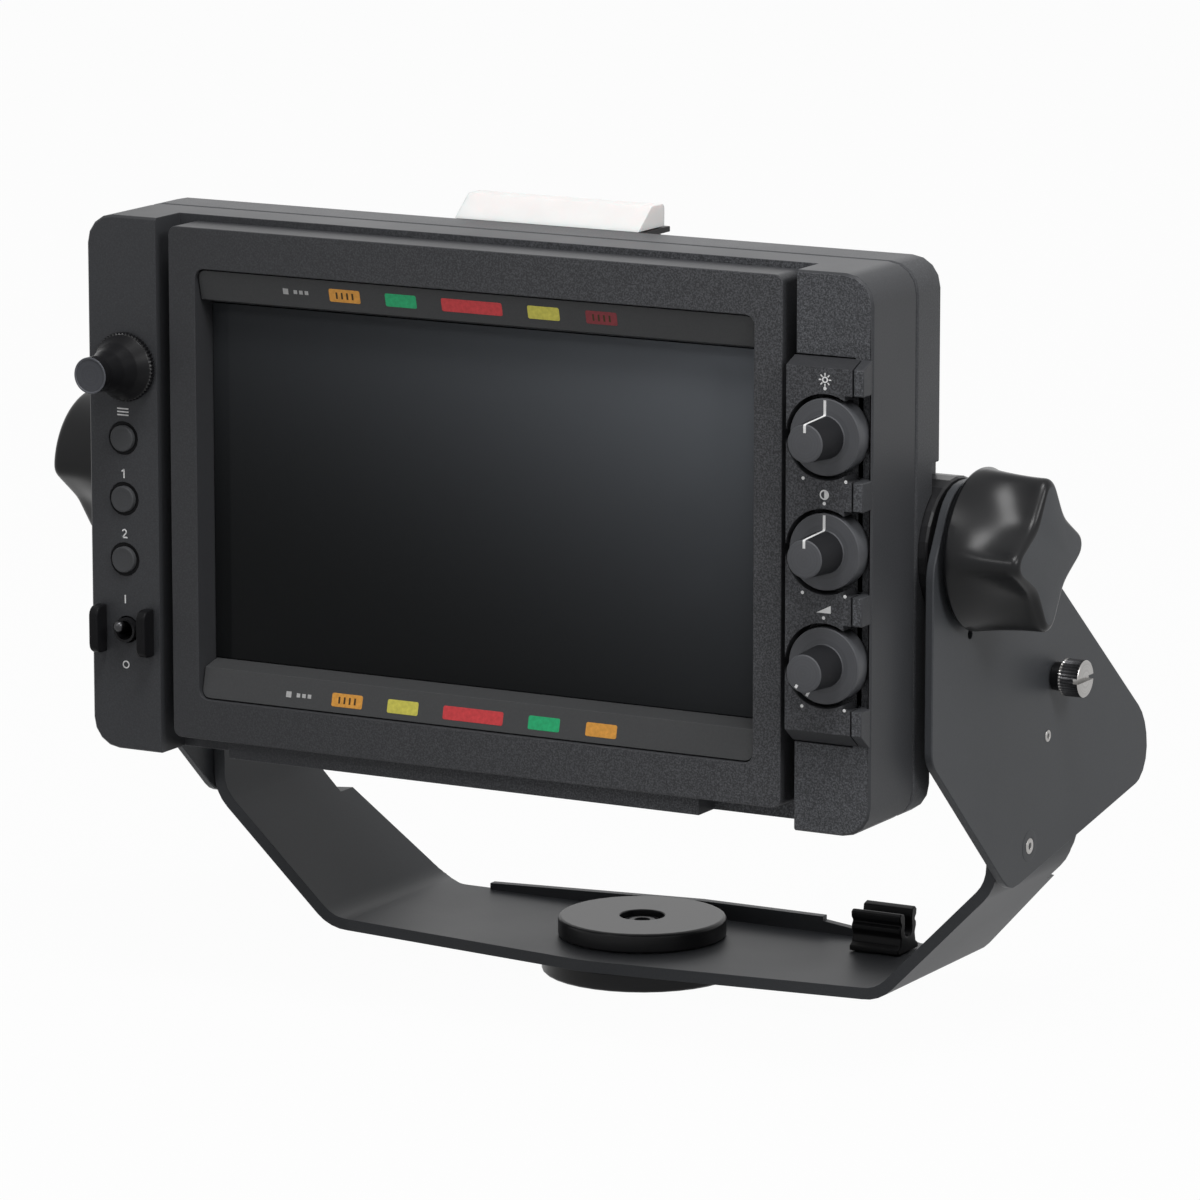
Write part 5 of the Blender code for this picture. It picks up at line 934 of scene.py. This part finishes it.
makeToggle(toggleLook)
print("dial, buttons and toggle made")


# thumbscrew: a knurled head with a slot, over a plain collar
thumbscrew = {
    "radius": 4.7 * mm, "face": 8.5 * mm, "edge": 0.45 * mm, "faceBand": 0.5 * mm, "collarEnd": 2.9 * mm,
    "collar": 3.6 * mm, "collarBend": 0.1 * mm, "back": 0.3 * mm, "backBend": 0.15 * mm, "backRing": 0.6 * mm,
    "knurlCount": 34, "knurlDepth": 0.3 * mm, "knurlInner": 0.1 * mm, "knurlEnd": 0.4 * mm,
    "slotWidth": 1.3 * mm, "slotDepth": 1.4 * mm, "steps": 136,
}


def screwBand(radius, height):
    look = thumbscrew
    if height > look["face"] - look["faceBand"]:
        return 0
    if height < look["collarEnd"] - look["collarBend"]:
        return 2
    return 1 if height > look["collarEnd"] + look["backRing"] else 0


def cutSlot(piece, size, centre):
    cutter = addPiece("slotCutter", bpy.data.meshes.new("slotCutter"), "printDark")
    shape = bmesh.new()
    bmesh.ops.create_cube(shape, size=1.0)
    bmesh.ops.scale(shape, vec=size, verts=shape.verts)
    bmesh.ops.translate(shape, vec=centre, verts=shape.verts)
    shape.to_mesh(cutter.data)
    shape.free()
    cutter.matrix_world = piece.matrix_world
    difference = piece.modifiers.new("slot", "BOOLEAN")
    difference.operation = "DIFFERENCE"
    difference.object = cutter
    bpy.context.view_layer.update()
    graph = bpy.context.evaluated_depsgraph_get()
    cutMesh = bpy.data.meshes.new_from_object(piece.evaluated_get(graph))
    piece.modifiers.remove(difference)
    piece.data = cutMesh
    bpy.data.objects.remove(cutter)


def makeThumbscrew(look):
    knurlStart = look["collarEnd"] + look["backRing"]
    profile = bentPath([
        (0, look["face"], 0),
        (look["radius"], look["face"], look["edge"]),
        (look["radius"], knurlStart, 0),
        (look["radius"], look["collarEnd"], look["backBend"]),
        (look["collar"], look["collarEnd"], look["collarBend"]),
        (look["collar"], look["back"], look["backBend"]),
        (0, look["back"], 0),
    ])
    ribs = {
        "from": look["radius"] - look["knurlInner"], "low": knurlStart,
        "high": look["face"] - look["knurlEnd"], "depth": look["knurlDepth"], "count": look["knurlCount"],
    }
    middle = centreOf("right_thumbscrew")
    piece = replaceTurned(
        "right_thumbscrew", profile, ["nickelPlate", "knurlNickel", "shadedNickel"],
        (plateOuter, middle.y, middle.z), "right", steps=look["steps"], band=screwBand, ribs=ribs,
    )
    cutSlot(piece, (look["slotWidth"], 3 * look["radius"], 2 * look["slotDepth"]), (0, 0, look["face"]))


makeThumbscrew(thumbscrew)


# pivot screw: a flat head with a raised ring round its socket
pivotScrew = {
    "head": 5.5 * mm, "headBend": 0.3 * mm, "thickness": 1.6 * mm, "ring": 3.5 * mm, "ringProud": 0.35 * mm,
    "ringBend": 0.2 * mm, "rootBend": 0.1 * mm, "socket": 2.0 * mm, "depth": 0.9 * mm,
}


def makePivotScrew(look):
    profile = bentPath([
        (0, -look["depth"], 0),
        (look["socket"], -look["depth"], 0),
        (look["socket"], 0, look["ringBend"]),
        (look["ring"], 0, look["ringBend"]),
        (look["ring"], -look["ringProud"], look["rootBend"]),
        (look["head"], -look["ringProud"], look["headBend"]),
        (look["head"], -look["thickness"], 0),
        (0, -look["thickness"], 0),
    ])
    replaceTurned("pivot_screw", profile, ["blackAnodised"], (0, 0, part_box("pivot_screw")[1].z), "up")


makePivotScrew(pivotScrew)


# cable clamp: two sprung jaws on a foot, with ridges outside and rounded lips; (y, z, bend) corners
clampLook = {
    "corners": [
        (-1.0, 0, 0), (-1.0, 1.3, 0.4), (0.4, 2.2, 0.8), (0.9, 4.2, 1.2), (0.2, 5.6, 0.5), (0.2, 6.6, 0.4),
        (1.0, 7.5, 0.5), (0.1, 8.5, 0.5), (-0.1, 10.0, 0.5), (0.8, 10.6, 0.5), (2.6, 10.2, 0.5),
        (3.0, 8.4, 1.5), (2.6, 4.0, 2.1), (7.0, 4.0, 2.1), (6.6, 8.6, 1.5), (7.0, 10.7, 0.5),
        (8.8, 11.2, 0.5), (9.7, 10.4, 0.5), (9.5, 9.0, 0.5), (8.6, 8.0, 0.5), (9.4, 7.1, 0.4),
        (9.4, 6.1, 0.5), (8.7, 4.4, 1.2), (9.2, 2.2, 0.8), (10.6, 1.3, 0.4), (10.6, 0, 0),
    ],
    "bendSteps": 6, "edge": 0.35 * mm, "edgeSteps": 3, "edgeAngle": 50,
}


def makeCableClamp(look):
    low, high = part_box("cable_clamp")
    corners = [(y * mm, z * mm, bend * mm) for y, z, bend in look["corners"]]
    outline = bentPath(corners, look["bendSteps"], closed=True)
    mesh = plateMesh("cable_clamp_finish", [outline], 0, high.x - low.x)
    clamp = addPiece("cable_clamp_finish", mesh, "blackPlastic")
    clamp.matrix_world = Matrix.Translation(low) @ alongX
    roundEdges(clamp, look["edge"], look["edgeSteps"], look["edgeAngle"])
    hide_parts("cable_clamp")
    joinBody(clamp, "cable_clamp")


makeCableClamp(clampLook)
print("screws and clamp made")


# side plate screws: (y, z) of each head, the same on both plates
plateScrews = [
    {"name": "lower", "spot": (-12.4 * mm, 48.0 * mm), "radius": 2.0 * mm, "washer": 4.0 * mm},
    {"name": "upper", "spot": (-2.5 * mm, 74.1 * mm), "radius": 1.5 * mm, "washer": 0},
]
screwHead = {
    "hole": 0.35, "holeTop": 0.45,  # shares of the radius
    "holeDepth": 0.5 * mm, "crown": 0.25 * mm, "crownBend": 0.08 * mm, "rim": 0.18 * mm,
    "rimBend": 0.15 * mm, "sunk": 0.4 * mm, "back": 0.9 * mm, "steps": 48,
    "washerGap": 0.1 * mm, "washerEdge": 0.3 * mm, "washerProud": 0.06 * mm, "washerSunk": 0.1 * mm,
    "washerBends": (0.05 * mm, 0.06 * mm), "washerSteps": 64,
}


def makePlateScrew(side, screw, look):
    radius = screw["radius"]
    profile = bentPath([
        (0, -look["holeDepth"], 0),
        (look["hole"] * radius, -look["holeDepth"], 0),
        (look["holeTop"] * radius, look["crown"], look["crownBend"]),
        (radius, look["rim"], look["rimBend"]),
        (radius, -look["sunk"], 0),
        (0, -look["back"], 0),
    ])
    spot = (signOf[side] * plateOuter, *screw["spot"])
    name = f"{side}_plate_{screw['name']}_screw"
    head = addPiece(name, turnedMesh(name, profile, look["steps"]), "nickelPlate")
    placePiece(head, spot, side)
    joinBody(head, side + "_side_plate")
    if not screw["washer"]:
        return
    innerBend, outerBend = look["washerBends"]
    start = (radius + look["washerGap"], -look["washerSunk"], 0)
    profile = bentPath([
        start,
        (radius + look["washerEdge"], look["washerProud"], innerBend),
        (screw["washer"], look["washerProud"], outerBend),
        (screw["washer"] + look["washerGap"], -look["washerSunk"], 0),
        start,
    ])
    name += "_washer"
    washer = addPiece(name, turnedMesh(name, profile, look["washerSteps"]), "platePaint")
    placePiece(washer, spot, side)
    joinBody(washer, side + "_side_plate")


for side in ("right", "left"):
    for screw in plateScrews:
        makePlateScrew(side, screw, screwHead)


# shapes for printed marks, in millimetres in the plane of the face; angles in degrees
def stroke(x0, y0, x1, y1, width):
    along = Vector((x1 - x0, y1 - y0)).normalized() * width / 2
    across = Vector((-along.y, along.x))
    start, end = Vector((x0, y0)) - along, Vector((x1, y1)) + along
    return [start - across, end - across, end + across, start + across]


def arcPoints(x, y, radius, start, end, steps, count):
    turns = [math.radians(start + (end - start) * step / steps) for step in range(count)]
    return [Vector((x + radius * math.cos(turn), y + radius * math.sin(turn))) for turn in turns]


def arcBand(x, y, radius, width, start, end, steps=20):
    outer = arcPoints(x, y, radius + width / 2, start, end, steps, steps + 1)
    inner = arcPoints(x, y, radius - width / 2, start, end, steps, steps + 1)
    return outer + list(reversed(inner))


def disc(x, y, radius, start=0, end=360, steps=24):
    return arcPoints(x, y, radius, start, end, steps, steps if end - start == 360 else steps + 1)


def fullRing(x, y, radius, width):
    return [arcBand(x, y, radius, width, 0, 180), arcBand(x, y, radius, width, 180, 360)]


def square(x, half):
    return [Vector((x + across * half, up * half)) for across, up in ((-1, -1), (1, -1), (1, 1), (-1, 1))]


def rays(inner, outer, width, count):
    starts = arcPoints(0, 0, inner, 0, 360, count, count)
    ends = arcPoints(0, 0, outer, 0, 360, count, count)
    return [stroke(*start, *end, width) for start, end in zip(starts, ends)]


markLine = 0.34
markShapes = {
    "bars": [stroke(-1.5, height, 1.5, height, markLine) for height in (-0.8, 0, 0.8)],
    "one": [stroke(0.1, -1.0, 0.1, 1.0, markLine), stroke(-0.45, 0.6, 0.05, 1.0, markLine)],
    "two": [
        arcBand(0, 0.45, 0.55, markLine, -35, 170),
        stroke(0.42, 0.1, -0.55, -1.0, markLine),
        stroke(-0.55, -1.0, 0.7, -1.0, markLine),
    ],
    "on": [stroke(0, -0.9, 0, 0.9, markLine)],
    "off": fullRing(0, 0, 0.85, markLine),
    "sun": fullRing(0, 0, 0.62, markLine) + rays(1.12, 1.5, 0.3, 8),
    "half": fullRing(0, 0, 1.05, markLine) + [disc(0, 0, 0.95, -90, 90)],
    "wedge": [[Vector((-1.9, -0.9)), Vector((1.9, -0.9)), Vector((1.9, 1.0))]],
    "squares": [square(x, half) for x, half in ((-2.4, 0.75), (0.4, 0.5), (2.0, 0.5), (3.6, 0.5))],
    "dot": [disc(0, 0, 0.42)],
    "ticks": [stroke(x, -0.6, x, 0.6, 0.5) for x in (-2.2, -0.7, 0.8, 2.3)],
}
markInk = 0.03 * mm  # how far a mark stands on each side of the face


# lays printed shapes on a face; marks are (shape, x, z) with the place in metres
def printMarks(name, marks, depth, node, finishName="printWhite", tilt=0.0):
    outlines = []
    origin = Vector((marks[0][1], depth, marks[0][2]))
    for shapeName, x, z in marks:
        for outline in markShapes[shapeName]:
            outlines.append([(point.x * mm + x - origin.x, point.y * mm + z - origin.z) for point in outline])
    piece = addPiece(name, plateMesh(name, outlines, -markInk, markInk), finishName)
    placePiece(piece, origin, "front", tilt)
    return joinBody(piece, node)


# marks of the left column: the height of each over the middle of the screen
columnMarks = {
    "x": -99.9 * mm,
    "heights": {"bars": 16.8 * mm, "one": 1.1 * mm, "two": -14.2 * mm, "on": -31.0 * mm, "off": -47.8 * mm},
}
# marks of the knob panel: a label above each knob, and dots at the middle and the ends of its turn
knobMarks = {
    "labels": {"upper_knob": "sun", "middle_knob": "half", "lower_knob": "wedge"},
    "above": 13.8 * mm, "dotReach": 11.7 * mm, "dotTurns": (90, 90 + 151, 90 - 151),
}


def printColumnMarks(look):
    marks = [(label, look["x"], screenCentre.z + height) for label, height in look["heights"].items()]
    printMarks("column_marks", marks, columnFront, "front_housing")


def printKnobMarks(look):
    marks = []
    for node, label in look["labels"].items():
        middle = centreOf(node)
        marks.append((label, middle.x, middle.z + look["above"]))
        for turn in look["dotTurns"]:
            across = look["dotReach"] * math.cos(math.radians(turn))
            up = look["dotReach"] * math.sin(math.radians(turn))
            marks.append(("dot", middle.x + across, middle.z + up))
    printMarks("panel_marks", marks, panelFront, "knob_panel")


printColumnMarks(columnMarks)
printKnobMarks(knobMarks)


# lamp windows in the sloping faces of the two strips: (x, width, colour), in millimetres
windowLook = {"roughness": 0.35, "specular": 0.25, "hazeSize": 900.0, "darker": 0.72, "glow": 0.22}
windowColours = {
    "orange": (0.54, 0.25, 0.045), "green": (0.015, 0.30, 0.120), "red": (0.45, 0.040, 0.045),
    "yellow": (0.47, 0.43, 0.075), "dimRed": (0.16, 0.021, 0.027),
}
stripWindows = {
    "upper_light_strip": {
        "height": 50.5 * mm, "slope": 1, "ticked": (-36, 36),
        "windows": [
            (-36, 8.8, "orange"), (-20, 8.8, "green"), (0, 17.0, "red"), (20, 8.8, "yellow"),
            (36, 8.6, "dimRed"),
        ],
    },
    "lower_light_strip": {
        "height": -51.0 * mm, "slope": -1, "ticked": (-36,),
        "windows": [
            (-36, 8.8, "orange"), (-20, 8.8, "yellow"), (0, 17.0, "red"), (20, 8.8, "green"),
            (36, 8.6, "orange"),
        ],
    },
}
# the strips' sloping face: two heights from the middle of the screen, and their depths behind the bezel
stripFace = {
    "outerHeight": 54.2 * mm, "innerHeight": 46.6 * mm, "outerDepth": 0.8 * mm, "innerDepth": 2.6 * mm,
}
windowShape = {
    "halfHeight": 1.7 * mm, "corner": 0.5 * mm, "proud": 0.06 * mm, "deep": 0.3 * mm, "edge": 0.05 * mm,
    "edgeSteps": 2, "labelX": -50.5 * mm,
}


def makeWindowGlass(name, colour, look):
    material, tree, shader = newMaterial(name, dict(look, colour=colour))
    haze = useGroup(tree, handlingSheen, (-600, 0), Size=look["hazeSize"])
    mixed = mixColours(tree, haze.outputs["Value"], [channel * look["darker"] for channel in colour], colour)
    link(tree, (mixed, shader.inputs["Base Color"]), (mixed, shader.inputs["Emission Color"]))
    shader.inputs["Emission Strength"].default_value = look["glow"]
    return material


def makeStripWindows(node, strip, shape):
    fall = stripFace["innerDepth"] - stripFace["outerDepth"]
    slope = fall / (stripFace["outerHeight"] - stripFace["innerHeight"])
    depth = screenFront + stripFace["outerDepth"] + slope * (stripFace["outerHeight"] - abs(strip["height"]))
    tilt = strip["slope"] * math.atan(slope)
    z = screenCentre.z + strip["height"]
    tall, bend = shape["halfHeight"], shape["corner"]
    for x, width, colour in strip["windows"]:
        half = width / 2 * mm
        corners = [(-half, -tall, bend), (half, -tall, bend), (half, tall, bend), (-half, tall, bend)]
        place = "left" if x < 0 else "middle" if x == 0 else "right"
        name = f"{node}_window_{colour}_{place}_{abs(x)}"
        mesh = plateMesh(name, [bentPath(corners, closed=True)], -shape["deep"], shape["proud"])
        glass = addPiece(name, mesh, colour + "Window")
        placePiece(glass, (x * mm, depth, z), "front", tilt)
        roundEdges(glass, shape["edge"], shape["edgeSteps"])
        joinBody(glass, node)
        if x in strip["ticked"]:
            marks = [("ticks", x * mm, z)]
            printMarks(name + "_marks", marks, depth - shape["proud"], node, "printDark", tilt)
    printMarks(node + "_label", [("squares", shape["labelX"], z)], depth, node, "printGrey", tilt)


for colour, value in windowColours.items():
    finish[colour + "Window"] = makeWindowGlass(colour + "Window", value, windowLook)
for node, strip in stripWindows.items():
    makeStripWindows(node, strip, windowShape)
print("marks and windows laid on")


# raised strips beside the knob panel, between the knobs' notches: (y, height) outlines, run along X
sideStrips = {
    "from": 107.1 * mm, "to": 109.8 * mm, "back": 0.4 * mm, "edge": 0.3 * mm, "edgeSteps": 2,
    "outlines": {
        "top": [(0, 37.85), (0, 44.3), (4.4, 46.1)],
        "upper": [(0, 10.25), (0, 17.35)],
        "lower": [(0, -17.35), (0, -10.25)],
        "bottom": [(4.4, -47.3), (0, -43.9), (0, -37.85)],
    },
}


def makeSideStrips(look):
    back = columnFront + look["back"]
    for place, points in look["outlines"].items():
        front = [(panelFront + y * mm, z * mm) for y, z in points]
        name = f"panel_side_strip_{place}"
        outline = front + [(back, front[-1][1]), (back, front[0][1])]
        mesh = plateMesh(name, [outline], look["from"], look["to"])
        mesh.transform(Matrix.Translation((0, 0, screenCentre.z)) @ alongX)
        strip = addPiece(name, mesh, "housingPlastic")
        roundEdges(strip, look["edge"], look["edgeSteps"])
        joinBody(strip, "front_housing")


makeSideStrips(sideStrips)


# the rear box: its outer form with the two upright rear edges cut back, and blind vents
rearBox = {
    "sideStart": 14.6 * mm, "sideCut": 8.2 * mm, "ventCount": 9, "ventPitch": 6 * mm, "ventWidth": 2 * mm,
    "ventLength": 26 * mm, "ventDepth": 1.8 * mm, "ventHeight": 139.1 * mm,
    "edge": 0.6 * mm, "edgeSteps": 3, "edgeAngle": 20,
}


def hullOf(node):
    shape = bmesh.new()
    shape.from_mesh(cadNodes[node].data)
    hull = bmesh.ops.convex_hull(shape, input=shape.verts, use_existing_faces=False)["geom"]
    points = {item for item in hull if isinstance(item, bmesh.types.BMVert)}
    faces = {item for item in hull if isinstance(item, bmesh.types.BMFace)}
    bmesh.ops.delete(shape, geom=[vertex for vertex in shape.verts if vertex not in points], context="VERTS")
    bmesh.ops.delete(shape, geom=[face for face in shape.faces if face not in faces], context="FACES_ONLY")
    return shape


def makeRearBox(look):
    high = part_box("electronics_housing")[1]
    shape = hullOf("electronics_housing")
    for sign in (-1, 1):
        corner = Vector((high.x * sign, high.y - look["sideStart"], 0))
        normal = Vector((sign * look["sideStart"], look["sideCut"], 0)).normalized()
        everything = shape.verts[:] + shape.edges[:] + shape.faces[:]
        bmesh.ops.bisect_plane(shape, geom=everything, plane_co=corner, plane_no=normal, clear_outer=True)
        openEdges = [edge for edge in shape.edges if edge.is_boundary]
        bmesh.ops.holes_fill(shape, edges=openEdges, sides=0)
    bmesh.ops.dissolve_limit(shape, angle_limit=flatAngle, verts=shape.verts, edges=shape.edges)
    mesh = finishMesh(shape, "electronics_housing_finish")
    piece = addPiece("electronics_housing_finish", mesh, "coverPlastic")
    vent = (look["ventWidth"], 2 * look["ventDepth"], look["ventLength"])
    for index in range(look["ventCount"]):
        x = (index - (look["ventCount"] - 1) / 2) * look["ventPitch"]
        cutSlot(piece, vent, (x, high.y, look["ventHeight"]))
    roundEdges(piece, look["edge"], look["edgeSteps"], look["edgeAngle"])
    piece.modifiers.new("evenShading", "WEIGHTED_NORMAL")
    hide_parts("electronics_housing")
    joinBody(piece, "electronics_housing")


makeRearBox(rearBox)
print("rear box made")


# contact pins inside the cable socket
pinRing = {
    "count": 6, "reach": 3.2 * mm, "radius": 0.45 * mm, "length": 3.0 * mm, "bend": 0.3 * mm,
    "sunk": 0.3 * mm, "steps": 20,
}


def makeContactPins(look):
    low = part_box("connector_insert")[0]
    middle = centreOf("connector_insert")
    profile = bentPath([
        (0, look["length"], 0),
        (look["radius"], look["length"], look["bend"]),
        (look["radius"], -look["sunk"], 0),
        (0, -look["sunk"], 0),
    ])
    for index in range(look["count"]):
        angle = 2 * math.pi * index / look["count"]
        name = f"contact_pin_{index + 1}"
        pin = addPiece(name, turnedMesh(name, profile, look["steps"]), "brightSteel")
        x = middle.x + look["reach"] * math.cos(angle)
        y = middle.y + look["reach"] * math.sin(angle)
        placePiece(pin, (x, y, low.z), "down")
        joinBody(pin, "connector_insert")


makeContactPins(pinRing)
print("contact pins made")


# camera, floor and light
cameraPlace = {
    "location": (0.8566, -1.5752, 0.4493), "pitch": 11.114, "yaw": 28.886, "lens": 214.23, "sensor": 36,
    "clip": (0.05, 60),
}
studioLights = {
    "overheadBox": {
        "location": (0.3, -0.5, 1.3), "target": (0.03, -0.05, 0.12), "size": (0.48, 0.45), "power": 11,
    },
    "leftBox": {
        "location": (-0.35, -1.2, 0.95), "target": (0, -0.08, 0.13), "size": (0.25, 0.25), "power": 2.4,
    },
    "rightBox": {
        "location": (1.0, -0.45, 0.75), "target": (0.08, -0.04, 0.12), "size": (0.4, 0.4), "power": 5.6,
    },
    "backBox": {
        "location": (-0.7, 1.4, 0.7), "target": (0, 0, 0.13), "size": (0.5, 0.5), "power": 0.5,
    },
}
studioRoom = {
    "seen": 1.0, "ambient": 0.2, "floor": 0.45, "white": 0.97, "floorSize": 12.0, "floorDrop": 0.3 * mm,
}


def makeCamera(look):
    camera = bpy.data.objects.new("studioCamera", bpy.data.cameras.new("studioCamera"))
    bpy.context.scene.collection.objects.link(camera)
    camera.location = look["location"]
    camera.rotation_euler = (math.radians(90 - look["pitch"]), 0, math.radians(look["yaw"]))
    camera.data.lens = look["lens"]
    camera.data.sensor_width = look["sensor"]
    camera.data.clip_start, camera.data.clip_end = look["clip"]
    bpy.context.scene.camera = camera


def addAreaLight(name, look):
    light = bpy.data.lights.new(name, "AREA")
    light.shape = "RECTANGLE"
    light.size, light.size_y = look["size"]
    light.energy = look["power"]
    lamp = bpy.data.objects.new(name, light)
    bpy.context.scene.collection.objects.link(lamp)
    lamp.location = look["location"]
    aim = Vector(look["target"]) - lamp.location
    lamp.rotation_euler = aim.to_track_quat("-Z", "Y").to_euler()
    lamp.visible_camera = False


# 1 for what the camera, gloss and glass see, 0 for the light that falls on things
def seenDirectly(tree):
    path = addNode(tree, "ShaderNodeLightPath", (-900, 0))
    first = addNode(tree, "ShaderNodeMath", (-700, 50), operation="MAXIMUM")
    second = addNode(tree, "ShaderNodeMath", (-500, 50), operation="MAXIMUM")
    link(
        tree,
        (path.outputs["Is Camera Ray"], first.inputs[0]),
        (path.outputs["Is Glossy Ray"], first.inputs[1]),
        (first.outputs[0], second.inputs[0]),
        (path.outputs["Is Transmission Ray"], second.inputs[1]),
    )
    return second.outputs[0]


def chooseShader(tree, share, below, above, outputKind):
    choose = addNode(tree, "ShaderNodeMixShader", (150, 0))
    output = addNode(tree, outputKind, (350, 0))
    link(
        tree,
        (share, choose.inputs[0]),
        (below.outputs[0], choose.inputs[1]),
        (above.outputs[0], choose.inputs[2]),
        (choose.outputs[0], output.inputs["Surface"]),
    )


# white where it is seen, and dimmer as the light of the room
def makeWorld(look):
    world = bpy.data.worlds.new("paleStudio")
    bpy.context.scene.world = world
    world.use_nodes = True
    tree = world.node_tree
    tree.nodes.clear()
    white = (1, 1, 1, 1)
    seen = addNode(tree, "ShaderNodeBackground", (-100, 100), Color=white, Strength=look["seen"])
    ambient = addNode(tree, "ShaderNodeBackground", (-100, -100), Color=white, Strength=look["ambient"])
    chooseShader(tree, seenDirectly(tree), ambient, seen, "ShaderNodeOutputWorld")


# a floor that is nearly white where it is seen, and keeps the object's shadow in the rest
def makeFloor(look):
    material = bpy.data.materials.new("paleFloor")
    material.use_nodes = True
    tree = material.node_tree
    tree.nodes.clear()
    grey = (look["floor"], look["floor"], look["floor"], 1)
    matt = addNode(tree, "ShaderNodeBsdfDiffuse", (-100, -100), Color=grey)
    glow = addNode(tree, "ShaderNodeEmission", (-100, 100), Strength=look["seen"])
    share = addNode(tree, "ShaderNodeMath", (-300, 50), operation="MULTIPLY")
    share.inputs[1].default_value = look["white"]
    link(tree, (seenDirectly(tree), share.inputs[0]))
    chooseShader(tree, share.outputs[0], matt, glow, "ShaderNodeOutputMaterial")
    mesh = bpy.data.meshes.new("studioFloor")
    shape = bmesh.new()
    bmesh.ops.create_grid(shape, x_segments=1, y_segments=1, size=look["floorSize"])
    shape.to_mesh(mesh)
    shape.free()
    mesh.materials.append(material)
    floor = bpy.data.objects.new("studioFloor", mesh)
    bpy.context.scene.collection.objects.link(floor)
    floor.location.z = -look["floorDrop"]


makeCamera(cameraPlace)
for name, look in studioLights.items():
    addAreaLight(name, look)
makeWorld(studioRoom)
makeFloor(studioRoom)
bpy.context.scene.view_settings.view_transform = "Standard"
print("camera, floor and light placed")
